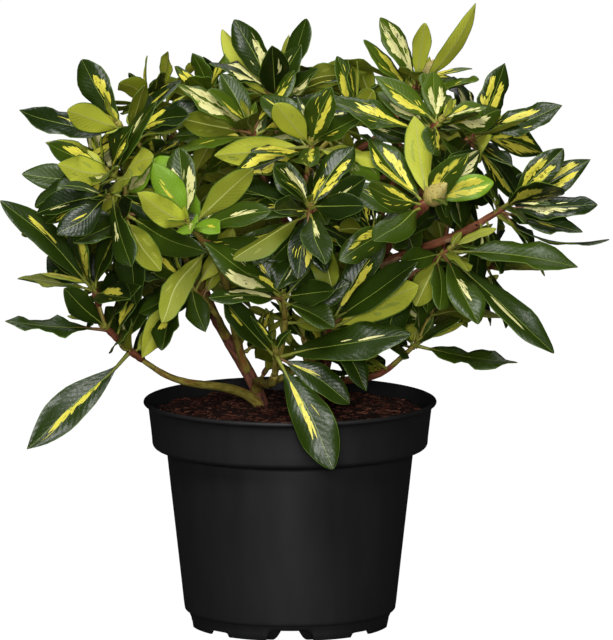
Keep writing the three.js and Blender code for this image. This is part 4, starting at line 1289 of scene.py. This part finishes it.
def deal_leaves(region, random):
    """The region's leaves as blades, for each one the numbers of its finishes, dealt out by spray
    (a whorl has its own tint, and its leaves are that or the next), and its pattern of streaks."""
    leaves, tints, patterns = [], [], []

    def deal(leaf, young, fresh_share, spray_top, spray_under):
        mark = leaf.mark.lower()
        part = "high" if leaf.root[2] + leaf.way[2] * leaf.length > HIGH_FROM else "low"
        heavy, light, turned = PATTERN_SHARES[part]
        draw = random.random(5)
        top = min(spray_top, 2 if part == "high" else 1) + random.integers(0, 2)
        if mark == "f" or (not mark and draw[0] < fresh_share):
            top = FRESH_TOP
        elif young and draw[0] > YOUNG_GREEN_SHARE:
            top = LIME_TOP
        over = draw[1] < turned
        pattern = HEAVY if draw[2] < heavy else LIGHT if draw[2] < heavy + light else PLAIN
        if mark and region != "back":
            over = (leaf.upper @ TO_FRONT < 0) != (mark in "uy")
            pattern = PATTERN_OF[mark]
        under = spray_under + random.integers(0, 2) * (draw[3] < NEXT_UNDER_SHARE)
        if mark == "y" or draw[4] < LIME_UNDER_SHARE:
            under = LIME_UNDER
        leaves.append(leaf.as_shown(over, NARROW if leaf.mark.isupper() else 1))
        tints.append((PALE_EDGE_AND_HIGHLIGHT, top, PALE_RIB, FIRST_UNDER + under, PALE_RIDGE))
        patterns.append(pattern)

    for mass in masses:
        if mass.name in REGIONS[region]:
            for whorl in mass.whorls:
                spray = random.integers(0, 3), random.integers(0, 2)
                fresh_share = FRESH_SHARES.get(mass.name, FRESH_SHARE)
                for leaf in whorl.leaves:
                    deal(leaf, False, fresh_share, *spray)
                for leaf in whorl.young:
                    deal(leaf, True, fresh_share, *spray)
    return Blades(leaves, random), np.array(tints), np.array(patterns)


# Slivers of a band: run along the leaf, spread across it, and width in mm.
BAND_RUN, BAND_SPREAD, BAND_WIDTH = (0.07, 0.19), (0.03, 0.27), (0.5, 1.45)
PALE_SHARE = 0.1  # of a band's slivers that are pale green
# Cream streaks are partly painted sheen, the yellow as it looks under a highlight.
CREAM_AND_SHEEN_SHARES = {HEAVY: 0.22, LIGHT: 0.5}  # of leaves with cream streaks; the others' are lemon yellow
# Heavy and wide bands: how far out they lean by the leaf's tip, and how thick they are, in shares of
# the half width; where they start and how far they reach, in shares of the blade's length.
BAND_OUT = {HEAVY: (0.06, 0.4), WIDE: (0, 0.06)}
BAND_THICK = {HEAVY: (0.18, 0.42), WIDE: (0.14, 0.2)}
HEAVY_FIRST, WIDE_FIRST = (0.01, 0.1), 0.12
BAND_REACH, BAND_COUNT = (0.4, 0.7), (26, 42)
ONE_FLANK_SHARE = 0.6
# How rich in slivers a band is, behind and in front, and how broad they are, right and left.
BACK_FROM, RICH_BACK, RICH_FRONT = 60, 0.5, 1.4
RIGHT_FROM, BROAD_RIGHT, BROAD_LEFT = 50, 0.95, 1.3
RICH_WIDE, BROAD_WIDE = 0.85, 0.8
MOTTLED_SHARE, BROAD_UNDER = 0.75, 1.3


def deal_streaks(blades, patterns, unders, random):
    """Streaks by pattern. A heavy leaf has a feathered band that leaves the midrib at its foot and
    fans out along one half or both, and stray lines beyond it; a light one a few thin lines. Most
    undersides are mottled by faint bands, one shade off their own."""
    rows = []
    between = random.uniform

    def sliver(leaf, b0, run, c0, spread, flank, width, tint, below=0):
        size = width * (blades.length[leaf] / USUAL_LENGTH) ** 0.5
        rows.append((leaf, b0, run, flank * c0, flank * (c0 + spread), size, tint, below))

    def band(leaf, flank, first, reach, out, thick, count, tint, broad, below=0):
        for _ in range(count):
            p = random.random() ** 0.85
            c0 = 0.02 + out * p + thick * random.random() * (0.35 + 0.65 * np.sin(np.pi * p))
            shade_of = PALE_STREAK if not below and random.random() < PALE_SHARE else tint
            sliver(
                leaf, first + reach * p, between(*BAND_RUN), c0, between(*BAND_SPREAD), flank,
                between(*BAND_WIDTH) * broad, shade_of, below,
            )

    for leaf in np.flatnonzero(patterns >= HEAVY):
        kind = patterns[leaf]
        wide = kind == WIDE
        tint = int(random.random() < CREAM_AND_SHEEN_SHARES[HEAVY])
        first = WIDE_FIRST if wide else between(*HEAVY_FIRST)
        reach = between(*BAND_REACH)
        side = random.choice([1, -1])
        for flank in [side] if wide or random.random() < ONE_FLANK_SHARE else [side, -side]:
            out, thick = between(*BAND_OUT[kind]), between(*BAND_THICK[kind])
            rich = RICH_BACK if blades.root[leaf, 1] > BACK_FROM else RICH_FRONT
            broad = BROAD_RIGHT if blades.root[leaf, 0] > RIGHT_FROM else BROAD_LEFT
            if wide:
                rich, broad = RICH_WIDE, BROAD_WIDE
            count = int(random.integers(*BAND_COUNT) * rich)
            band(leaf, flank, first, reach, out, thick * rich * broad ** 0.5, count, tint, broad)
        for _ in range(1 if wide else random.integers(3, 8)):
            sliver(
                leaf, between(0.08, reach + 0.2), between(0.07, 0.17), between(0.05, 0.6),
                between(0.05, 0.16), random.choice([1, -1]), between(0.2, 0.5), tint,
            )
    for leaf in np.flatnonzero(patterns == LIGHT):
        tint = int(random.random() < CREAM_AND_SHEEN_SHARES[LIGHT])
        flank = random.choice([1, -1])
        start, middle = between(0.05, 0.45), between(0.02, 0.3)
        for _ in range(random.integers(4, 12)):
            sliver(
                leaf, start + between(0, 0.25), between(0.07, 0.24), middle + between(-0.08, 0.12),
                between(0.02, 0.16), flank, between(0.25, 0.85), tint,
            )
    for leaf in np.flatnonzero(random.random(len(patterns)) < MOTTLED_SHARE):
        for flank in (1, -1):
            band(
                leaf, flank, between(0, 0.3), between(0.3, 0.6), between(0, 0.2), between(0.2, 0.6),
                random.integers(3, 6), FIRST_UNDER_STREAK + unders[leaf], BROAD_UNDER, below=1,
            )
    owner, *runs, tint, below = np.array(rows).T
    return streak_skins(blades.pick(owner.astype(int)), *runs, tint.astype(int), below)


REDDISH_STALKS = 0.25


def make_foliage():
    """Blades, streaks and stalks, each kind in its own pieces by region."""
    stalks = []
    for region, nodes in REGIONS.items():
        random = np.random.default_rng(REGION_SEEDS[region])
        streak_random = np.random.default_rng(REGION_SEEDS[region] + STREAK_SEEDS_FROM)
        blades, tints, patterns = deal_leaves(region, random)
        make_piece("leaves_" + region, [blade_skins(blades, tints)], LEAF_FINISHES, nodes)
        streaks = deal_streaks(blades, patterns, tints[:, 3] - FIRST_UNDER, streak_random)
        make_piece("streaks_" + region, [streaks], STREAKS, nodes, smooth=False)
        stalks.append(stalk_skins(blades, (random.random(len(tints)) < REDDISH_STALKS).astype(int)))
    make_piece("leaf_stalks", stalks, STALKS, MASSES)


# ---------- twigs and buds


def tube(curve, t, radius, sides, finish=0):
    """A closed tube along the curve through t, its radius given for each ring or ring point. The
    place of a point is its way round the limb in metres and, squeezed, its way along."""
    across, over = square_to(way_on(curve, t))
    angle = circle(sides)
    radius = np.broadcast_to(np.asarray(radius).reshape(len(t), -1), (len(t), sides))
    centre = on_curve(curve, t)
    rings = centre[:, None] + radius[..., None] * ring_of_ways(angle, across, over)
    squeezed = 0.22 * run_along(centre)[:, None]
    flat = np.stack(np.broadcast_arrays(radius * np.cos(angle), radius * np.sin(angle), squeezed), -1)
    offset = centre[0] * 3  # so that no two limbs show the same stretch of grain
    starts, ends = centre[None, 0] - way_on(curve, t[0]), centre[None, -1] + way_on(curve, t[-1])
    return skin(rings[None], starts, ends, finish, (flat + offset)[None] * MM)


BROWN_GIRTH = 2.45  # thicker spurs are brown
COLLAR_SHARE = 0.6
COLLAR_PLACES = np.array([17, 16, 13, 10, 7, 4, 3])  # down from the whorl
COLLAR_FLARE = np.array([0.2, 0.7, 1.1, 0.8, 1.3, 1.0, 0.4])[:, None]


def make_twigs():
    """Twigs from each bough's tip to the whorls: eight sides, ringed by old leaf scars, and on most
    of them a collar of dry bud scales below the whorl."""
    random = np.random.default_rng(TWIG_SEED)
    tubes = []
    for mass in masses:
        brown = mass.row.on not in OLIVE_STEMS and mass.row.girth > BROWN_GIRTH
        for twig in mass.twigs:
            length = np.linalg.norm(twig.curve[1] - twig.curve[0])
            t = np.linspace(-2 / length, 1 + 1.5 / length, 14)
            taper = twig.radius * (1 - 0.25 * np.clip(t, 0, 1))
            scars = 0.22 * np.maximum(0, ripples(random, 4, (t * length, 0.7, 1.6, False)))
            lean = ripples(random, 3, (circle(8)[None], 1, 3, True), (t[:, None] * length, 0.1, 0.5, False))
            radius = (taper + scars)[:, None] * (1 + 0.06 * lean)
            tubes.append(tube(twig.curve, t, radius, 8, int(brown)))
            if random.random() < COLLAR_SHARE:
                ragged = 1 + 0.16 * np.sin(5 * circle(10) + 2 * COLLAR_FLARE)
                radius = (twig.radius * 0.78 + COLLAR_FLARE) * ragged
                tubes.append(tube(twig.curve, 1 - COLLAR_PLACES / length, radius, 10, 2))
    make_piece("twigs", tubes, [YOUNG_BARK, BROWN_BARK, OLD_SCALES], MASSES)


BUD_LENGTHS, BUD_WIDTHS = (9, 13), (2.4, 3.4)
FLOWER_BUDS = {"right_bud": (28, 8.9), "top_right": (24, 7.2)}


def make_buds():
    """A pointed bud in the middle of every whorl: an egg of overlapping scales, each ring of scales
    set half a scale round from the last. Two have swollen to flower buds."""
    random = np.random.default_rng(BUD_SEED)
    buds = []
    for mass in masses:
        for i, whorl in enumerate(mass.whorls):
            big = mass.name in FLOWER_BUDS and i == 0
            if big:
                length, width = FLOWER_BUDS[mass.name]
            else:
                length, width = random.uniform(*BUD_LENGTHS), random.uniform(*BUD_WIDTHS)
            sides, rows, scale_rings, scales_round, lip_from = (
                (30, 26, 4.5, 5, 0.84) if big else (10, 10, 4, 4, 0.72)
            )
            curve = np.array([whorl.centre - whorl.axis * 2, whorl.centre + whorl.axis * (length - 2)])
            t = np.linspace(0.02, 0.97, rows)
            saw = scale_rings * t[:, None] + 0.35 * np.abs(np.sin(scales_round * circle(sides)[None] / 2))
            step = saw - np.floor(saw)
            egg = width * np.sin(np.pi * t ** 0.8) ** 0.7 * (1 - 0.25 * t)
            lip = np.vstack([step[:1], step])[None] > lip_from
            buds.append(tube(curve, t, egg[:, None] * (1 + 0.12 * step), sides, lip + 2 * big))
    make_piece("buds", buds, BUDS, MASSES)


# ---------- stems and boughs

RED_BARK = woody_bark("rough_red_brown_bark", "#3c1d12", "#9c6048", "#c4a88e", 0.8)
BROWN_BARK = woody_bark("smooth_brown_bark", "#6b3722", "#b4704c", "#c49a74", 0.66)
YOUNG_BARK = woody_bark("young_olive_bark", "#7c6c26", "#bcae52", "#9c6a38", 0.5)
OLD_SCALES = woody_bark("dry_bud_scales", "#5c2a18", "#8c4c2e", "#a87c50", 0.75)
OLIVE_STEMS = ("main_stem", "young_shoot")


def limb_tube(limb, start, sides, rows, rough, random, collar=0.0):
    """A limb with its relief: lengthwise ridges that wander, a coarse swelling, rings of old bud
    scars every couple of centimetres, and a collar that dies away from the limb's foot."""
    t = np.linspace(start, 1.0, rows)
    length = run_along(on_curve(limb.curve, t))[:, None]
    angle = circle(sides)[None]
    ridges = ripples(random, 6, (angle, 3, 9, True), (length, 0.02, 0.12, False))
    swelling = ripples(random, 3, (angle, 1, 3, True), (length, 0.05, 0.16, False))
    scars = np.maximum(0, ripples(random, 2, (length, 0.28, 0.34, False))) ** 4
    foot = collar * np.exp(-((length / 9) ** 2))
    radius = limb.radius_at(t)[:, None] * (1 + rough * ridges + 0.7 * rough * swelling + foot)
    return tube(limb.curve, t, radius + 0.5 * scars, sides)


def grows_olive(limb):
    """The shoots of the left-hand stem are still green under their bark; the others are brown."""
    return limb == "young_shoot" or MASSES[limb.removesuffix("_bough")].on in OLIVE_STEMS


def make_limbs():
    """Stems with rough bark, flared into the soil, and the boughs, brown ones and olive ones."""
    random = np.random.default_rng(LIMB_SEED)
    stems = [limb_tube(limbs[name], 0.02, 28, 70, 0.1, random) for name in STEMS]
    make_piece("stems", stems, [RED_BARK], STEMS)
    for piece, olive, bark in (("boughs", False, BROWN_BARK), ("young_boughs", True, YOUNG_BARK)):
        names = [name for name in limbs if name not in STEMS and grows_olive(name) == olive]
        tubes = [limb_tube(limbs[name], -0.01, 16, 36, 0.05, random, collar=0.3) for name in names]
        make_piece(piece, tubes, [bark], names)


# ---------- pot and soil

POT_PLASTIC = moulded_polypropylene()
POTTING_MIX = potting_mix()
SOIL_FINISHES = [POTTING_MIX] + tissues(
    0.9, peat_fibre_dark="#24110b", peat_fibre_red="#4a1f12", bark_crumb_tan="#6e4230",
)


def arc(r, z, radius, first, last, steps):
    """Points (r, z) on an arc round a middle, from the first to the last angle in degrees."""
    angle = np.radians(np.linspace(first, last, steps))
    return [(r + radius * np.cos(a), z + radius * np.sin(a)) for a in angle]


FOOT_OUTER, FOOT_INNER = 79.0, 77.0
FOOT_TOP = 8.6  # only what is lower is cut by arches and notches
ARCH_HALF, ARCH_HEIGHT = 18.0, 8.4
NOTCH_HALF, NOTCH_HEIGHT = 10.0, 3.4
WEB_OUTER, WEB_EDGE = 76.0, 0.4
WEB_MIDDLE, WEB_FOOT = 7.0, 14.5  # from an arch's middle to its web at the plate and at the foot's edge
WEB_TOP = 8.5
POT_SIDES = 288
POT_PROFILE = [
    # the base plate from its boss outwards, and the web under it
    (0.5, 0), (15.6, 0), (16, 0.4), (16, 8.4), (16.4, 8.8), (WEB_OUTER - 2.8, 8.8),
    (WEB_OUTER - 2.4, 8.6), (WEB_OUTER - 2.2, WEB_EDGE), (WEB_OUTER - 0.2, WEB_EDGE),
    (WEB_OUTER, 8.6), (WEB_OUTER + 0.4, 8.8), (FOOT_INNER - 0.4, 8.8),
    # the foot ring and the ledge above it
    (FOOT_INNER, 8.5), (FOOT_INNER, 0.3), (FOOT_INNER + 0.3, 0), (FOOT_OUTER - 0.3, 0),
    (FOOT_OUTER, 0.3), (FOOT_OUTER + 0.8, 5.5), (80.6, 11), (81.0, 12.2),
    *arc(82.2, 13.8, 1.6, -130, -20, 4), (84.0, 15.2),
    # the wall
    (84.4, 18), (88, 51), (91, 78), (94.5, 109), (97.6, 137.5),
    # the collar and the lip
    *arc(99.6, 138.4, 2.0, 180, 112, 4), (104.5, 142.2), *arc(105.0, 146.4, 4.2, -62, -6, 6),
    (109.6, 151.5), (110.8, 162), (112.2, 173.5), *arc(114.4, 178.4, 1.75, -130, 120, 12),
    # back down inside
    (112.4, 179.6), (111.2, 178.0), (110.4, 172), (107.3, 152), (105.2, 147.2), (98, 144.2),
    (95.9, 141), (89, 78), (82.2, 17), (77, 11), (40, 10.8), (0.5, 10.8),
]


def turned_skin(profile, sides, lifted):
    """A closed shape turned about the Z axis: profile points (r, z) from the middle of its
    underside outwards, up and back in. `lifted` adds a height to each point of each ring."""
    r, z = np.array(profile).T
    angle = circle(sides)
    heights = z[:, None] + lifted
    rings = np.stack([r[:, None] * np.cos(angle), r[:, None] * np.sin(angle), heights], -1)
    ends = [np.array([[0, 0, heights[row].mean()]]) for row in (0, -1)]
    return skin(rings[None], *ends)


def from_nearest(angle):
    """How far round the foot each angle is from the nearest of four middles, one each quarter turn."""
    return FOOT_OUTER * np.abs(np.sin(angle - np.round(angle / (np.pi / 2)) * np.pi / 2))


def opening(reach, half, height):
    """The height of an opening at this far from its middle: flat above, with rounded corners."""
    return height * np.clip(1 - (reach / half) ** 8, 0, 1) ** 0.4


def make_pot():
    """The pot as one shell turned from its profile. Four arches and four notches between them are
    cut into the foot ring. Behind each arch a web narrows it: it hangs from the plate to the foot's
    edge and curves up towards the arch's middle, which stays open."""
    r, z = np.array(POT_PROFILE).T
    angle = circle(POT_SIDES)
    reach = from_nearest(angle)
    arch = opening(reach, ARCH_HALF, ARCH_HEIGHT)
    notch = opening(from_nearest(angle - np.pi / 4), NOTCH_HALF, NOTCH_HEIGHT)
    foot = (r >= FOOT_INNER) & (z < FOOT_TOP)
    inward = np.clip((WEB_FOOT - reach) / (WEB_FOOT - WEB_MIDDLE), 0, 1) ** 2
    beyond = np.clip((reach - ARCH_HALF - 3) / 3, 0, 1)
    web = (z == WEB_EDGE)[:, None] * (WEB_TOP - WEB_EDGE) * np.maximum(inward, beyond)
    lifted = np.where(foot[:, None], np.maximum(0, np.maximum(arch, notch)[None] - z[:, None]), web)
    shell = turned_skin(POT_PROFILE, POT_SIDES, lifted)
    make_piece("pot_shell", [shell], [POT_PLASTIC], ["pot"])


def soil_height(x, y):
    """Height of the soil: a level top with soft humps, raised a little round the stems."""
    near = np.exp(-((x - 5) ** 2 + (y - 40) ** 2) / 45 ** 2)
    humps = 1.2 * np.sin(0.11 * x + 1.3) * np.sin(0.09 * y + 0.4) + 0.8 * np.sin(0.23 * x - 0.31 * y)
    crumbs = 0.5 * np.sin(0.9 * x + 0.4 * y) * np.sin(0.7 * y - 0.5 * x)
    return humps + crumbs + 2.5 * near - 0.5


SOIL_SIDES = 180
SOIL_RINGS = np.linspace(106.5, 1.5, 60)  # radii of the rings of its top
SOIL_PROFILE = [
    (0.5, 11.1), (74.5, 11.1), (81.5, 16.6), (95.5, 144.2), (104.5, 149.2), (107.0, 153),
    (107.9, SOIL_TOP - 3), *[(radius, SOIL_TOP) for radius in SOIL_RINGS],
]
FIBRES, FIBRE_REACH = 2300, 105


def make_soil():
    """The potting mix: filling the pot, with an uneven top strewn with fibres and bark crumbs."""
    random = np.random.default_rng(SOIL_SEED)
    r, _ = np.array(SOIL_PROFILE).T
    angle = circle(SOIL_SIDES)
    x, y = r[:, None] * np.cos(angle), r[:, None] * np.sin(angle)
    top = np.arange(len(r)) >= len(r) - len(SOIL_RINGS)
    filling = turned_skin(SOIL_PROFILE, SOIL_SIDES, np.where(top[:, None], soil_height(x, y), 0))
    make_piece("soil_filling", [filling], [POTTING_MIX], ["soil"])

    radius = FIBRE_REACH * np.sqrt(random.random(FIBRES))
    angle = random.uniform(0, 2 * np.pi, FIBRES)
    x, y = radius * np.cos(angle), radius * np.sin(angle)
    centre = np.stack([x, y, SOIL_TOP + soil_height(x, y) + random.uniform(0, 1.2, FIBRES)], -1)
    heading = random.uniform(0, 2 * np.pi, FIBRES)
    way = unit(np.stack([np.cos(heading), np.sin(heading), random.uniform(-0.15, 0.3, FIBRES)], -1))
    length = random.uniform(2, 10, FIBRES)
    width = random.uniform(0.25, 0.65, FIBRES)
    across, over = square_to(way)
    bend = random.uniform(-0.15, 0.15, FIBRES) * length
    t = np.array([-0.35, 0, 0.35])
    path = (
        centre[:, None] + (t * length[:, None])[..., None] * way[:, None]
        + ((1 - 8 * t ** 2) * bend[:, None])[..., None] * across[:, None]
    )
    rings = path[:, :, None] + width[:, None, None, None] * ring_of_ways(circle(3), across, over)[:, None]
    tip = way * length[:, None] * 0.15
    finish = random.integers(1, len(SOIL_FINISHES), FIBRES)[:, None, None]
    fibres = skin(rings, path[:, 0] - tip, path[:, -1] + tip, finish)
    make_piece("soil_fibres", [fibres], SOIL_FINISHES, ["soil"], smooth=False)


# ---------- floor, light and camera

FRAME_HEIGHT = 506.3 * MM  # what the frame's long side takes in, at the middle of the view
SENSOR = 36.0
LIGHTS_AIM = (0, 0, 0.26)  # the middle of the crown


def aim(thing, place, target):
    """Puts a camera or light at the place, looking at the target, and adds it to the scene."""
    thing.location = Vector(place)
    thing.rotation_euler = (Vector(target) - Vector(place)).to_track_quat("-Z", "Y").to_euler()
    bpy.context.scene.collection.objects.link(thing)


def make_camera():
    data = bpy.data.cameras.new("camera")
    data.sensor_width = SENSOR
    data.lens = SENSOR * CAMERA_AWAY / FRAME_HEIGHT
    data.clip_end = 100
    camera = bpy.data.objects.new("camera", data)
    target = VIEW_MIDDLE * MM
    aim(camera, target + CAMERA_AWAY * TO_FRONT, target)
    bpy.context.scene.camera = camera


def make_light(name, place, width, height, power):
    """A soft box: a rectangle of even white light, aimed at the middle of the crown."""
    data = bpy.data.lights.new(name, "AREA")
    data.shape = "RECTANGLE"
    data.size = width
    data.size_y = height
    data.energy = power
    aim(bpy.data.objects.new(name, data), place, LIGHTS_AIM)


def make_floor():
    """A wide floor in matt pale paint, which shows white to the camera and throws little light."""
    made, tree = new_material("pale_floor_paint")
    path = add_node(tree, "LightPath")
    shade(tree, {
        "Base Color": linear("#404040"), "Roughness": 0.9, "Emission Color": linear("#ffffff"),
        "Emission Strength": path.outputs["Is Camera Ray"],
    })
    mesh = bpy.data.meshes.new("floor")
    half = 14
    corners = [(-half, -half, 0), (half, -half, 0), (half, half, 0), (-half, half, 0)]
    mesh.from_pydata(corners, [], [(0, 1, 2, 3)])
    mesh.materials.append(made)
    floor = bpy.data.objects.new("floor", mesh)
    bpy.context.scene.collection.objects.link(floor)


def make_world():
    """White behind everything, and a dimmer even light on the object."""
    world = bpy.data.worlds.new("studio")
    bpy.context.scene.world = world
    world.use_nodes = True
    tree = world.node_tree
    tree.nodes.clear()
    path = add_node(tree, "LightPath")
    strength = add_node(
        tree, "MapRange", {"Value": path.outputs["Is Camera Ray"], "To Min": 0.012, "To Max": 1.0},
    )
    light = add_node(tree, "Background", {"Color": linear("#ffffff"), "Strength": strength.outputs[0]})
    add_node(tree, "OutputWorld", {"Surface": light.outputs["Background"]})


make_foliage()
make_twigs()
make_buds()
make_limbs()
make_pot()
make_soil()
make_floor()
make_world()
make_light("key_soft_box", (-0.2, -1.5, 2.3), 1.0, 1.0, 43)
make_light("front_soft_box", (0.0, -2.9, 0.8), 0.8, 0.7, 42)
make_light("back_soft_box", (0.2, 1.3, 2.3), 1.6, 1.0, 14)
make_camera()
bpy.context.scene.view_settings.view_transform = "Standard"
bpy.context.scene.view_settings.look = "None"
